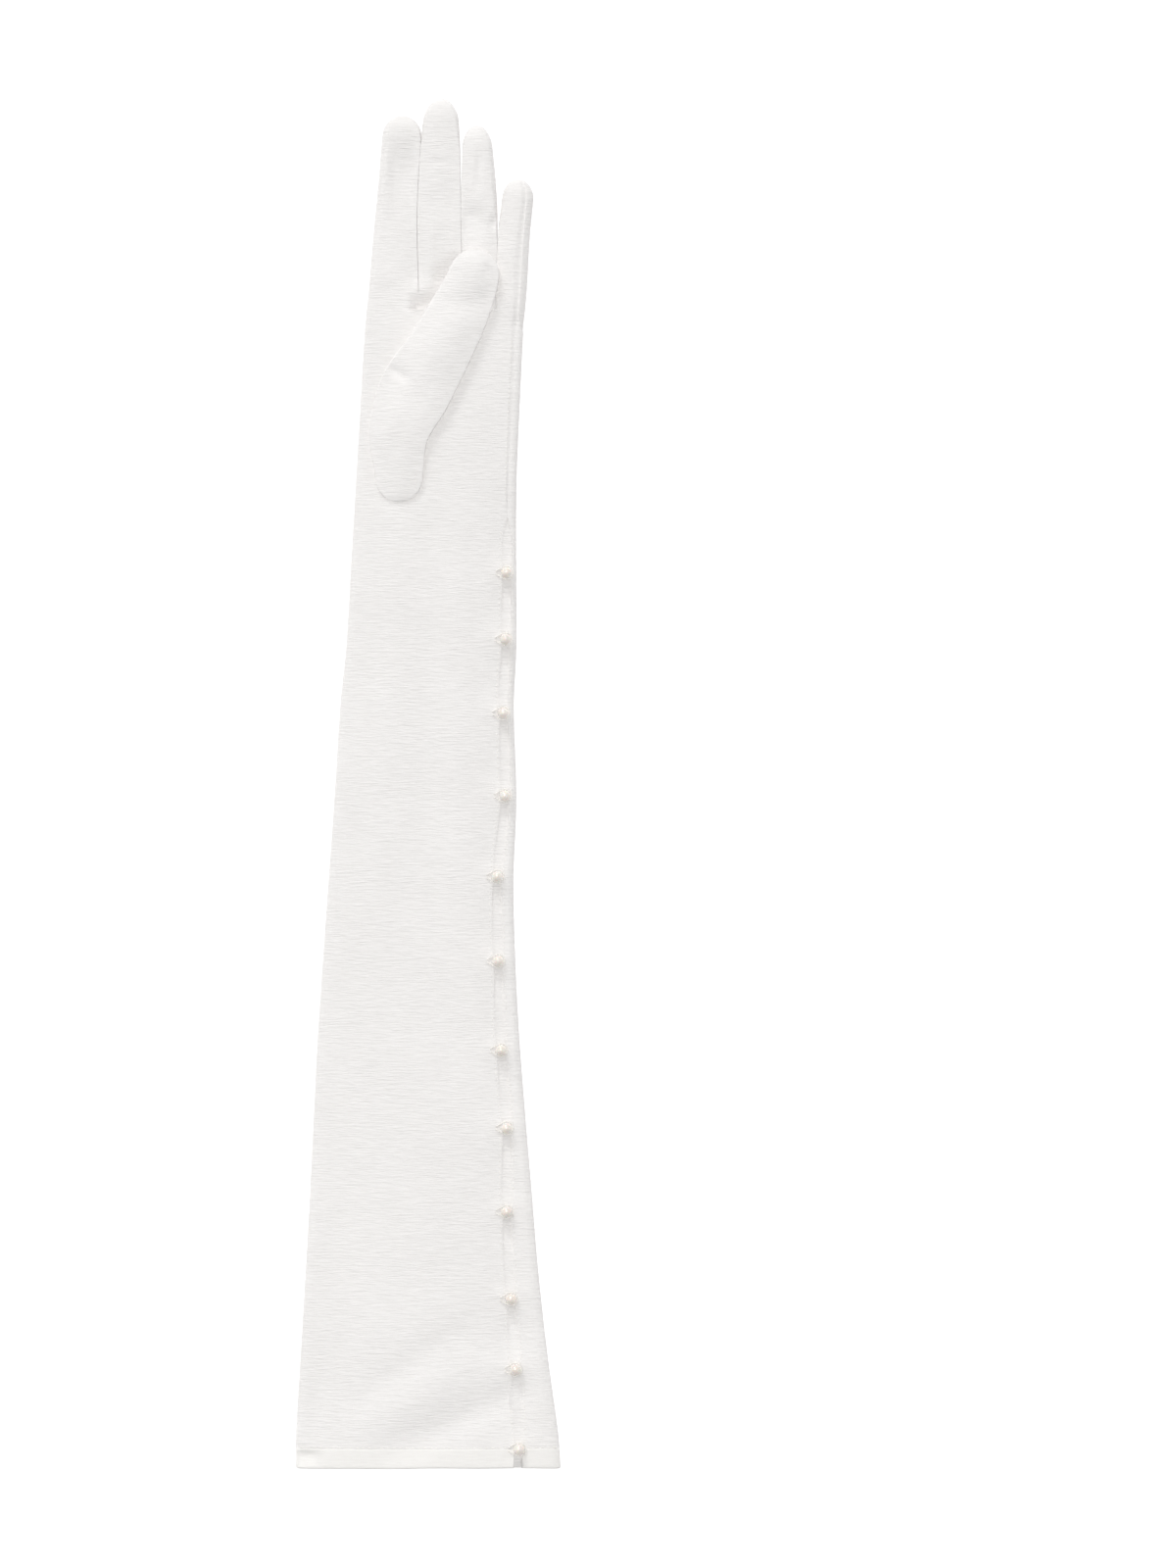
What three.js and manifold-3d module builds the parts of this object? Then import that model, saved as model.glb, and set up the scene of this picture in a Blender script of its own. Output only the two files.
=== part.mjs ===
// Long opera glove of fine ribbed tulle: a left hand, lying palm up, the thumb folded across the palm.
// Millimetres. +Y runs from the cuff to the fingertips, +X to the little-finger side, +Z up.
// While it is made, y = 0 is the cuff edge, x = 0 the middle of the cuff and z = 0 the resting face.
import * as THREE from 'three';
import { mergeVertices } from 'three/addons/utils/BufferGeometryUtils.js';
import Module from 'manifold-3d';

const wasm = await Module();
wasm.setup();

// Outline of the glove as it lies
const cuffWidth = 116;
const palmWidth = 69;
const sleeveLength = 514; // cuff edge to the crotch between index and middle finger
const rootSlant = 18; // how far the finger roots fall back towards the little-finger edge
const indexLength = 78.5; // each finger from its crotch to its tip
const middleLength = 86;
const ringLength = 75.5;
const littleLength = 58.5;
const fingertipLength = 9;

// Cloth and the height of the flattened tubes
const clothThickness = 1;
const seamGap = 0.3;
const sleeveEdgeRadius = 3; // rounding of the folded edge at each side
const sleeveCrown = 4; // rise of the upper layer above its edges
const fingerEdgeRadius = 3.2;
const fingerCrown = 1.2;
const slotWidth = 0.5; // daylight between neighbouring fingers

// Thumb
const thumbReach = 110.6; // from its base to its tip, along the glove
const thumbWidth = 31.7;
const thumbDrop = 91; // from the crotch beside the index finger down to the base of the thumb
const thumbEdgeRadius = 2.6;
const thumbCrown = 1.5;
const thumbHoleLength = 42;
const thumbHoleWidth = 13;
const thumbHoleStart = 9; // base of the thumb to the lower end of its hole

const thumbBase = sleeveLength - thumbDrop; // cuff edge to the base of the thumb

// Fourchettes
const fourchetteWidth = 8.4; // across one gusset at its crotch
const fourchetteDepth = 6; // how far it runs down into the palm, below the crotch

// Hem, slit and facing
const hemHeight = 9;
const slitLength = 415.4;
const slitWidth = 3.6;
const slitTaper = 9; // length of its pointed end
const facingLap = 2; // facing hidden under each edge of the slit
const facingThickness = 0.8;
const facingOverrun = 5; // facing beyond the end of the slit

// Pearls and their loops
const pearlDiameter = 5;
const shankDiameter = 1.6;
const pearlSides = 10;
const loopThread = 0.8;
const loopTail = 1.9; // from the loop round the pearl to the loop's ends
const loopSides = 5;

// Fineness of the meshes
const sleeveFacets = { edge: 3, top: 12, bottom: 3 }; // edge: on each quarter of a folded edge
const fingerFacets = { edge: 2, top: 4, bottom: 2 };
const thumbFacets = { edge: 2, top: 4, bottom: 3 };
const foldZone = 90; // the folded stretch above the cuff has the closer rings
const foldZoneSpacing = 8;
const armSpacing = 36;
const farAbove = 60; // cutting bodies reach this high
const cutOverrun = 5; // cutting bodies pass open ends by this much

// Sections of the sleeve and palm: at is the share of sleeveLength from the cuff,
// flare the share of (cuffWidth - palmWidth) added to palmWidth,
// lean the sideways shift of the middle as a share of palmWidth, crown a share of sleeveCrown
const sleeveRows = [
  { at: 0.0, flare: 1.0, lean: 0.0, crown: 1.0 },
  { at: 0.03, flare: 0.975, lean: -0.008, crown: 1.0 },
  { at: 0.1, flare: 0.826, lean: -0.028, crown: 0.95 },
  { at: 0.17, flare: 0.697, lean: -0.041, crown: 0.9 },
  { at: 0.23, flare: 0.606, lean: -0.047, crown: 0.85 },
  { at: 0.3, flare: 0.505, lean: -0.056, crown: 0.8 },
  { at: 0.366, flare: 0.413, lean: -0.0625, crown: 0.78 },
  { at: 0.43, flare: 0.33, lean: -0.059, crown: 0.75 },
  { at: 0.5, flare: 0.257, lean: -0.047, crown: 0.72 },
  { at: 0.57, flare: 0.229, lean: -0.019, crown: 0.7 },
  { at: 0.65, flare: 0.15, lean: -0.008, crown: 0.7 },
  { at: 0.7, flare: 0.119, lean: 0.019, crown: 0.7 },
  { at: 0.77, flare: 0.073, lean: 0.034, crown: 0.72 },
  { at: 0.84, flare: 0.03, lean: 0.05, crown: 0.75 },
  { at: 0.9, flare: 0.018, lean: 0.072, crown: 0.75 },
  { at: 0.97, flare: 0.01, lean: 0.1, crown: 0.7 },
  { at: 1.0, flare: 0.0, lean: 0.119, crown: 0.66 },
];

// Folds of the upper layer: x and y place the middle as shares of cuffWidth from the middle of the
// cuff edge, turn is in degrees from +X, length and width are shares of cuffWidth, rise of sleeveCrown
const foldRows = [
  { x: 0.06, y: 0.24, turn: 27, length: 0.56, width: 0.055, rise: -0.32 },
  { x: -0.06, y: 0.33, turn: 33, length: 0.5, width: 0.065, rise: 0.2 },
  { x: -0.01, y: 0.44, turn: 33, length: 0.62, width: 0.05, rise: -0.14 },
  { x: -0.4, y: 0.46, turn: 84, length: 1.1, width: 0.1, rise: -0.2 },
  { x: 0.0, y: 2.9, turn: 89, length: 1.5, width: 0.045, rise: -0.12 },
  { x: 0.12, y: 2.95, turn: 91, length: 1.4, width: 0.05, rise: 0.12 },
  { x: -0.14, y: 2.9, turn: 88, length: 1.3, width: 0.05, rise: 0.12 },
];

// Fingers: crotch is the place of the crotch that the length is measured from, across the palm.
// In the rows along is a share of middleLength from the root line, left and right are the edges
// as shares of palmWidth from the index side of the palm
const fingers = [
  {
    name: 'index',
    length: indexLength,
    crotch: 0.384,
    rows: [
      { along: 0, left: 0.0, right: 0.384 },
      { along: 0.3, left: 0.031, right: 0.364 },
      { along: 0.5, left: 0.056, right: 0.35 },
      { along: 0.82, left: 0.09, right: 0.352 },
    ],
  },
  {
    name: 'middle',
    length: middleLength,
    crotch: 0.384,
    rows: [
      { along: 0, left: 0.384, right: 0.597 },
      { along: 0.3, left: 0.364, right: 0.591 },
      { along: 0.5, left: 0.35, right: 0.5875 },
      { along: 0.82, left: 0.352, right: 0.58 },
      { along: 1, left: 0.366, right: 0.56 },
    ],
  },
  {
    name: 'ring',
    length: ringLength,
    crotch: 0.597,
    rows: [
      { along: 0, left: 0.597, right: 0.811 },
      { along: 0.3, left: 0.591, right: 0.82 },
      { along: 0.5, left: 0.5875, right: 0.816 },
      { along: 0.82, left: 0.6, right: 0.78 },
    ],
  },
  {
    name: 'little',
    length: littleLength,
    crotch: 0.811,
    rows: [
      { along: -0.2, left: 0.811, right: 0.978 },
      { along: 0, left: 0.811, right: 1.004 },
      { along: 0.3, left: 0.822, right: 1.026 },
      { along: 0.5, left: 0.85, right: 1.05 },
    ],
  },
];

// Axis of the thumb: along is a share of thumbReach from its base, across a share of palmWidth
// from the index side of the palm, width a share of thumbWidth
const thumbRows = [
  { along: 0.0, across: 0.2, width: 0.62 },
  { along: 0.124, across: 0.196, width: 0.68 },
  { along: 0.279, across: 0.2, width: 0.84 },
  { along: 0.434, across: 0.296, width: 1.0 },
  { along: 0.589, across: 0.44, width: 0.92 },
  { along: 0.744, across: 0.572, width: 0.83 },
  { along: 0.88, across: 0.664, width: 0.72 },
  { along: 1.0, across: 0.69, width: 0.62 },
];

// Gussets: slot is the number of the finger on the index side,
// reach the length above the crotch as a share of middleLength
const fourchetteEnds = [
  { name: 'fourchette_index_middle', slot: 0, reach: 0.68 },
  { name: 'fourchette_middle_ring', slot: 1, reach: 0.6 },
  { name: 'fourchette_ring_little', slot: 2, reach: 0.3 },
];

// Pearls: along is a share of slitLength from the cuff edge,
// inset the distance from the little-finger edge as a share of cuffWidth. The slit runs through them
const pearlRows = [
  { along: 0.944, inset: 0.0365 },
  { along: 0.874, inset: 0.041 },
  { along: 0.796, inset: 0.04 },
  { along: 0.709, inset: 0.043 },
  { along: 0.624, inset: 0.061 },
  { along: 0.535, inset: 0.065 },
  { along: 0.441, inset: 0.072 },
  { along: 0.359, inset: 0.074 },
  { along: 0.271, inset: 0.1 },
  { along: 0.179, inset: 0.113 },
  { along: 0.105, inset: 0.128 },
  { along: 0.021, inset: 0.152 },
];
const slitRows = [{ along: 0, inset: 0.157 }, ...pearlRows.toReversed(), { along: 1, inset: 0.034 }];

const clothColour = 0xf1efeb;
const pearlColour = 0xf3ece1;
const threadColour = 0xf8f6f2;

/** Smooth curve through one column of a table, flat past its ends. */
function readTable(rows, key, column, place) {
  const last = rows.length - 1;
  if (place <= rows[0][key]) return rows[0][column];
  if (place >= rows[last][key]) return rows[last][column];
  const next = rows.findIndex((row) => row[key] > place);
  const slopeAt = (index) => {
    const before = rows[Math.max(index - 1, 0)];
    const after = rows[Math.min(index + 1, last)];
    return (after[column] - before[column]) / (after[key] - before[key]);
  };
  const start = rows[next - 1];
  const end = rows[next];
  const span = end[key] - start[key];
  const t = (place - start[key]) / span;
  const rise = end[column] - start[column];
  const startSlope = slopeAt(next - 1) * span;
  const endSlope = slopeAt(next) * span;
  return start[column] + t * startSlope + t * t * (3 * rise - 2 * startSlope - endSlope)
    + t * t * t * (startSlope + endSlope - 2 * rise);
}

const clamp = THREE.MathUtils.clamp;
const mix = THREE.MathUtils.lerp;
const smooth = THREE.MathUtils.smoothstep;

/** Width, middle and crown of the sleeve or palm at a distance from the cuff edge. */
function sleeveSection(y) {
  const at = y / sleeveLength;
  return {
    half: (palmWidth + readTable(sleeveRows, 'at', 'flare', at) * (cuffWidth - palmWidth)) / 2,
    middle: readTable(sleeveRows, 'at', 'lean', at) * palmWidth,
    crown: readTable(sleeveRows, 'at', 'crown', at) * sleeveCrown,
  };
}

/** Rise or fall of the upper layer in its folds. */
function foldRise(x, y) {
  let rise = 0;
  for (const fold of foldRows) {
    const turn = THREE.MathUtils.degToRad(fold.turn);
    const dx = x / cuffWidth - fold.x;
    const dy = y / cuffWidth - fold.y;
    const alongFold = (dx * Math.cos(turn) + dy * Math.sin(turn)) / (fold.length / 2);
    const acrossFold = (dy * Math.cos(turn) - dx * Math.sin(turn)) / fold.width;
    rise += fold.rise * sleeveCrown * Math.exp(-(acrossFold ** 2) - alongFold ** 4);
  }
  return rise;
}

/** Where the folds fade out towards the folded edges of the sleeve. */
function foldShare(offset, half) {
  return 1 - smooth(Math.abs(offset), half * 0.8, half);
}

/** Height of the palm-side cloth of the sleeve and palm, at the outer face. */
function topAt(x, y) {
  const section = sleeveSection(y);
  const offset = clamp(x - section.middle, -section.half, section.half);
  const pastFlat = Math.max(0, Math.abs(offset) - (section.half - sleeveEdgeRadius));
  const edge = sleeveEdgeRadius + Math.sqrt(sleeveEdgeRadius ** 2 - pastFlat ** 2);
  const crown = section.crown * (1 - (offset / section.half) ** 2);
  return edge + crown + foldRise(x, y) * foldShare(offset, section.half);
}

/** Place across the palm at the finger roots, from a share of palmWidth from the index side. */
function palmAcross(share) {
  return sleeveSection(sleeveLength).middle + (share - 0.5) * palmWidth;
}

/** How far the line of the finger roots falls back at a place across the palm. */
function rootFall(x) {
  const flatShare = 0.45;
  const share = (x - palmAcross(0)) / palmWidth;
  return rootSlant * clamp((share - flatShare) / (1 - flatShare), 0, 1.2) ** 2;
}

/** Outline of a flattened tube: offsets from its middle with the height of each point. */
function tubeOutline(half, radius, midHeight, crown, facets) {
  const outline = [];
  const flat = half - radius;
  const lift = (offset) => crown * (1 - (offset / half) ** 2);
  const addPoint = (offset, height, top) => {
    outline.push({ offset, height: height + (top ? lift(offset) : 0), top });
  };
  for (let i = 0; i < facets.bottom; i += 1) {
    addPoint(mix(-flat, flat, i / facets.bottom), midHeight - radius, false);
  }
  for (let i = 0; i < 2 * facets.edge; i += 1) {
    const turn = (Math.PI / 2) * (i / facets.edge - 1);
    addPoint(flat + radius * Math.cos(turn), midHeight + radius * Math.sin(turn), i > facets.edge);
  }
  for (let i = 0; i < facets.top; i += 1) {
    addPoint(mix(flat, -flat, i / facets.top), midHeight + radius, true);
  }
  for (let i = 0; i < 2 * facets.edge; i += 1) {
    const turn = (Math.PI / 2) * (i / facets.edge + 1);
    addPoint(-flat + radius * Math.cos(turn), midHeight + radius * Math.sin(turn), i < facets.edge);
  }
  return outline;
}

/** Closed body through rings of points, the first ring facing back and the last one forward. */
function loft(rings) {
  const size = rings[0].length;
  const positions = rings.flat().flatMap((point) => [point.x, point.y, point.z]);
  const faces = [];
  for (let ring = 0; ring + 1 < rings.length; ring += 1) {
    for (let i = 0; i < size; i += 1) {
      const a = ring * size + i;
      const b = ring * size + ((i + 1) % size);
      faces.push(a, a + size, b, b, a + size, b + size);
    }
  }
  const capCentre = (ring) => ring.reduce((sum, point) => sum.add(point), new THREE.Vector3())
    .divideScalar(size);
  const firstCentre = size * rings.length;
  const lastRing = size * (rings.length - 1);
  positions.push(...capCentre(rings[0]).toArray(), ...capCentre(rings.at(-1)).toArray());
  for (let i = 0; i < size; i += 1) {
    const j = (i + 1) % size;
    faces.push(firstCentre, i, j, firstCentre + 1, lastRing + j, lastRing + i);
  }
  const geometry = new THREE.BufferGeometry();
  geometry.setAttribute('position', new THREE.Float32BufferAttribute(positions, 3));
  geometry.setIndex(faces);
  return geometry;
}

/** Solid for joining and cutting, from a closed geometry. */
function toSolid(geometry) {
  const bare = geometry.clone();
  bare.deleteAttribute('normal');
  bare.deleteAttribute('uv');
  const welded = mergeVertices(bare, 0.0001);
  return new wasm.Manifold(new wasm.Mesh({
    numProp: 3,
    vertProperties: new Float32Array(welded.attributes.position.array),
    triVerts: new Uint32Array(welded.index.array),
  }));
}

/** Geometry of a solid that has been joined and cut. */
function toGeometry(solid) {
  const mesh = solid.getMesh();
  const geometry = new THREE.BufferGeometry();
  geometry.setAttribute('position', new THREE.Float32BufferAttribute(mesh.vertProperties, 3));
  geometry.setIndex(Array.from(mesh.triVerts));
  return geometry;
}

/** Upright body over a plan outline, between two heights. */
function prism(points, low, high) {
  const geometry = new THREE.ExtrudeGeometry(new THREE.Shape(points), {
    depth: high - low,
    bevelEnabled: false,
  });
  geometry.translate(0, 0, low);
  return toSolid(geometry);
}

/** Distances from the cuff edge of the rings between two ends, closer together in the folds. */
function ringStations(from, to) {
  const stations = [from];
  const step = (y) => (y < foldZone ? foldZoneSpacing : armSpacing);
  for (let y = foldZoneSpacing; y < to; y += step(y)) {
    const apart = foldZoneSpacing / 2;
    if (y > from + apart && y < to - apart) stations.push(y);
  }
  stations.push(to);
  return stations;
}

/** Solid body of the sleeve and palm, drawn in by inset on every side but its ends. */
function sleeveBody(inset, from, to) {
  const rings = ringStations(from, to).map((y) => {
    const section = sleeveSection(y);
    const radius = sleeveEdgeRadius - inset;
    const half = section.half - inset;
    const outline = tubeOutline(half, radius, sleeveEdgeRadius, section.crown, sleeveFacets);
    return outline.map((point) => {
      const x = section.middle + point.offset;
      const fold = point.top ? foldRise(x, y) * foldShare(point.offset, half) : 0;
      return new THREE.Vector3(x, y, point.height + fold);
    });
  });
  return toSolid(loft(rings));
}

/** Body beyond the line of the finger roots, its near face drawn in by inset. */
function beyondRoots(inset) {
  const steps = 14;
  const margin = 0.2; // of palmWidth, past each side of the palm
  const line = Array.from({ length: steps + 1 }, (_, i) => {
    const x = palmAcross(mix(-margin, 1 + margin, i / steps));
    return new THREE.Vector2(x, sleeveLength - rootFall(x) - inset);
  });
  const ends = [new THREE.Vector2(line.at(-1).x, sleeveLength + cutOverrun),
    new THREE.Vector2(line[0].x, sleeveLength + cutOverrun)];
  return prism([...line, ...ends], -cutOverrun, farAbove);
}

/** Left and right edge of a finger at a distance from the root line. */
function fingerEdges(finger, along) {
  const place = along / middleLength;
  return {
    left: palmAcross(readTable(finger.rows, 'along', 'left', place)),
    right: palmAcross(readTable(finger.rows, 'along', 'right', place)),
  };
}

/** Solid body of one finger, drawn in by inset, its lower end inside the palm. */
function fingerBody(finger, inset) {
  const rootStart = -9;
  const rootEase = 30;
  const sink = 0.5;
  const crotchFall = rootFall(palmAcross(finger.crotch));
  const tipStart = finger.length - fingertipLength;
  const shaft = [rootStart, 0, tipStart / 3, (tipStart * 2) / 3, tipStart];
  const tipTurns = [28, 52, 70, 83];
  const stations = shaft.map((along) => ({ along, taper: 1 }));
  for (const turn of tipTurns) {
    const angle = THREE.MathUtils.degToRad(turn);
    const tipReach = fingertipLength - inset;
    stations.push({ along: tipStart + tipReach * Math.sin(angle), taper: Math.cos(angle) });
  }
  const rings = stations.map(({ along, taper }) => {
    const edges = fingerEdges(finger, along - crotchFall);
    const centre = (edges.left + edges.right) / 2;
    const drawnIn = inset + slotWidth / 2 + (along < 0 ? sink : 0);
    const half = ((edges.right - edges.left) / 2 - drawnIn) * taper;
    const radius = (fingerEdgeRadius - inset) * taper;
    const y = sleeveLength - crotchFall + along;
    const rootCrown = topAt(centre, sleeveLength) - 2 * fingerEdgeRadius;
    const crown = mix(rootCrown, fingerCrown, smooth(along, 0, rootEase)) - (along < 0 ? sink : 0);
    const outline = tubeOutline(half, radius, fingerEdgeRadius, crown * taper, fingerFacets);
    return outline.map((point) => new THREE.Vector3(centre + point.offset, y, point.height));
  });
  return toSolid(loft(rings));
}

/** Distance of the slit from the middle line x = 0, at a distance from the cuff edge. */
function slitAt(y) {
  const section = sleeveSection(y);
  const inset = readTable(slitRows, 'along', 'inset', y / slitLength) * cuffWidth;
  return section.middle + section.half - inset;
}

/** Plan outline of a strip that follows the slit, with its half-width given along it. */
function stripPlan(halfWidthAt, from, to) {
  const places = slitRows.flatMap((row, i) => {
    const next = slitRows[i + 1] ?? row;
    return [row.along * slitLength, ((row.along + next.along) / 2) * slitLength];
  });
  const apart = 2;
  const stations = [from, ...places.filter((y) => y > from + apart && y < to - apart), to];
  const side = (sign) => stations.map((y) => new THREE.Vector2(slitAt(y) + sign * halfWidthAt(y), y));
  return [...side(1), ...side(-1).reverse()];
}

/** Half-width of the slit, pointed at its upper end. */
function slitHalfWidth(y) {
  return (slitWidth / 2) * Math.sqrt(clamp((slitLength - y) / slitTaper, 0.02, 1));
}

/** Plan outline of one gusset round its slot, made wider by a clearance. */
function fourchettePlan(gusset, clearance) {
  const finger = fingers[gusset.slot];
  const end = gusset.reach * middleLength;
  const stations = [
    { along: -fourchetteDepth, half: 0.14 },
    { along: -fourchetteDepth / 3, half: 0.44 },
    { along: 0, half: 0.5 },
    { along: end * 0.5, half: 0.36 },
    { along: end, half: 0.2 },
  ];
  const crotch = finger.rows[0].right;
  const fall = rootFall(palmAcross(crotch));
  const side = (sign) => stations.map(({ along, half }) => {
    const x = fingerEdges(finger, along - fall).right;
    const endwise = along < 0 ? -clearance : clearance;
    const y = sleeveLength - fall + along + (half < 0.3 ? endwise : 0);
    return new THREE.Vector2(x + sign * (half * fourchetteWidth + clearance), y);
  });
  return [...side(1), ...side(-1).reverse()];
}

/** Plan ellipse of the thumb hole. */
function thumbHolePlan() {
  const steps = 20;
  const holeMiddle = thumbBase + thumbHoleStart + thumbHoleLength / 2;
  const across = thumbAxis((holeMiddle - thumbBase) / thumbReach).x;
  return Array.from({ length: steps }, (_, i) => {
    const turn = (i / steps) * 2 * Math.PI;
    return new THREE.Vector2(
      across + (thumbHoleWidth / 2) * Math.cos(turn),
      holeMiddle + (thumbHoleLength / 2) * Math.sin(turn),
    );
  });
}

/** Middle of the thumb in plan, at a share of its reach. */
function thumbAxis(share) {
  const across = readTable(thumbRows, 'along', 'across', share);
  return new THREE.Vector2(palmAcross(across), thumbBase + share * thumbReach);
}

/** Solid body of the thumb, drawn in by inset, lying on the palm. */
function thumbBody(inset) {
  const shaftSteps = 8;
  const endTurns = [83, 60, 32];
  const endLength = 10;
  const first = endLength / thumbReach;
  const stations = [];
  for (const turn of endTurns) {
    const angle = THREE.MathUtils.degToRad(turn);
    const back = ((endLength - inset) * Math.sin(angle)) / thumbReach;
    stations.push({ share: first - back, taper: Math.cos(angle) });
  }
  for (let i = 0; i <= shaftSteps; i += 1) {
    stations.push({ share: mix(first, 1 - first, i / shaftSteps), taper: 1 });
  }
  for (const turn of endTurns.toReversed()) {
    const angle = THREE.MathUtils.degToRad(turn);
    const onward = ((endLength - inset) * Math.sin(angle)) / thumbReach;
    stations.push({ share: 1 - first + onward, taper: Math.cos(angle) });
  }
  const rings = stations.map(({ share, taper }) => {
    const probe = 0.02;
    const centre = thumbAxis(share);
    const heading = thumbAxis(share + probe).sub(thumbAxis(share - probe)).normalize();
    const aside = new THREE.Vector2(heading.y, -heading.x);
    const width = readTable(thumbRows, 'along', 'width', share) * thumbWidth;
    const half = (width / 2 - inset) * taper;
    const radius = (thumbEdgeRadius - inset) * taper;
    const outline = tubeOutline(half, radius, thumbEdgeRadius, thumbCrown * taper, thumbFacets);
    return outline.map((point) => {
      const place = centre.clone().addScaledVector(aside, point.offset);
      const rest = topAt(place.x, Math.min(place.y, sleeveLength)) + seamGap;
      return new THREE.Vector3(place.x, place.y, rest + point.height);
    });
  });
  return toSolid(loft(rings));
}

/** Trank and gussets: the whole shell, then parted along the gussets. */
function handPieces() {
  const outer = fingers.reduce(
    (body, finger) => body.add(fingerBody(finger, 0)),
    sleeveBody(0, hemHeight + seamGap, sleeveLength).subtract(beyondRoots(0)),
  );
  const hollow = fingers.reduce(
    (body, finger) => body.add(fingerBody(finger, clothThickness)),
    sleeveBody(clothThickness, hemHeight - cutOverrun, sleeveLength)
      .subtract(beyondRoots(clothThickness)),
  );
  const slit = prism(stripPlan(slitHalfWidth, -cutOverrun, slitLength), sleeveEdgeRadius, farAbove);
  const thumbHole = prism(thumbHolePlan(), sleeveEdgeRadius, farAbove);
  const shell = outer.subtract(hollow);
  let trank = shell.subtract(slit).subtract(thumbHole);
  const pieces = {};
  for (const gusset of fourchetteEnds) {
    pieces[gusset.name] = shell.intersect(prism(fourchettePlan(gusset, 0), -cutOverrun, farAbove));
    trank = trank.subtract(prism(fourchettePlan(gusset, seamGap), -cutOverrun, farAbove));
  }
  return { trank, ...pieces };
}

/** Hollow thumb, open over the thumb hole. */
function thumbPiece() {
  const mouthHeight = 1.8; // above the inner face of the lower cloth
  const plan = thumbHolePlan();
  const heights = plan.map((point) => topAt(point.x, point.y));
  const top = Math.max(...heights) + seamGap + clothThickness + mouthHeight / 2;
  return thumbBody(0).subtract(thumbBody(clothThickness)).subtract(prism(plan, 0, top));
}

/** Half-width of the facing. */
function facingHalfWidth() {
  return slitWidth / 2 + facingLap;
}

/** Doubled hem round the cuff, single over the facing and parted by the slit. */
function hemPiece() {
  const clear = (y) => facingHalfWidth(y) + seamGap;
  const ring = sleeveBody(0, 0, hemHeight)
    .subtract(sleeveBody(2 * clothThickness, -cutOverrun, hemHeight + cutOverrun));
  const facingRoom = sleeveBody(clothThickness, -cutOverrun, hemHeight + cutOverrun)
    .intersect(prism(stripPlan(clear, -cutOverrun, hemHeight + cutOverrun), sleeveEdgeRadius - 1, farAbove));
  const slit = prism(stripPlan(slitHalfWidth, -cutOverrun, hemHeight + cutOverrun), sleeveEdgeRadius,
    farAbove);
  return ring.subtract(facingRoom).subtract(slit);
}

/** Strip of cloth under the slit. */
function facingPiece() {
  const end = slitLength + facingOverrun;
  const upper = clothThickness + seamGap;
  const lower = upper + facingThickness;
  const layer = sleeveBody(upper, 0, end).subtract(sleeveBody(lower, -cutOverrun, end + cutOverrun));
  return layer.intersect(prism(stripPlan(facingHalfWidth, 0, end), sleeveEdgeRadius, farAbove));
}

// Height of a pearl's middle above the cloth beside it, so that it clears both edges of the slit
const pearlRise = seamGap + Math.sqrt((pearlDiameter / 2) ** 2 - (slitWidth / 2) ** 2);

/** Pearl with its shank, turned round +Z, its middle at the origin. */
function pearlGeometry() {
  const radius = pearlDiameter / 2;
  const shankFoot = -(pearlRise + clothThickness);
  const arcSteps = 6;
  const startTurn = Math.asin(shankDiameter / 2 / radius);
  const profile = [new THREE.Vector2(0, shankFoot), new THREE.Vector2(shankDiameter / 2, shankFoot)];
  for (let i = 0; i < arcSteps; i += 1) {
    const turn = mix(startTurn, Math.PI, i / arcSteps);
    profile.push(new THREE.Vector2(radius * Math.sin(turn), -radius * Math.cos(turn)));
  }
  profile.push(new THREE.Vector2(0, radius));
  const geometry = new THREE.LatheGeometry(profile, pearlSides);
  geometry.rotateX(Math.PI / 2);
  return geometry;
}

/** Thread loop round the foot of a pearl that sits at x, y, its two ends on the palm side. */
function loopGeometry(x, y) {
  const threadRadius = loopThread / 2;
  const lift = seamGap + threadRadius;
  const reach = pearlDiameter / 2 + seamGap + threadRadius;
  const round = Math.sqrt(reach ** 2 - (pearlRise - lift) ** 2);
  const widest = 125;
  const steps = 8;
  const plan = [[-round - loopTail, -threadRadius - seamGap / 2]];
  for (let i = 0; i <= steps; i += 1) {
    const turn = THREE.MathUtils.degToRad(mix(-widest, widest, i / steps));
    plan.push([round * Math.cos(turn), round * Math.sin(turn)]);
  }
  plan.push([-round - loopTail, threadRadius + seamGap / 2]);
  const seat = topAt(x, y);
  const path = new THREE.CatmullRomCurve3(plan.map(([dx, dy]) => {
    const height = Math.max(seat, topAt(x + dx, y + dy)) + lift;
    return new THREE.Vector3(x + dx, y + dy, height);
  }));
  const section = new THREE.Shape(Array.from({ length: loopSides }, (_, i) => {
    const turn = (i / loopSides) * 2 * Math.PI;
    return new THREE.Vector2(threadRadius * Math.cos(turn), threadRadius * Math.sin(turn));
  }));
  return new THREE.ExtrudeGeometry(section, { steps: 10, extrudePath: path });
}

const glove = new THREE.Group();

/** Adds one named piece with its own material. */
function addPiece(name, geometry, color, roughness) {
  const mesh = new THREE.Mesh(geometry, new THREE.MeshStandardMaterial({ color, roughness, metalness: 0 }));
  mesh.name = name;
  glove.add(mesh);
  return mesh;
}

for (const [name, solid] of Object.entries(handPieces())) {
  addPiece(name, toGeometry(solid), clothColour, 0.85);
}
addPiece('thumb', toGeometry(thumbPiece()), clothColour, 0.85);
addPiece('cuff_hem', toGeometry(hemPiece()), clothColour, 0.85);
addPiece('placket_facing', toGeometry(facingPiece()), clothColour, 0.85);

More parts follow.
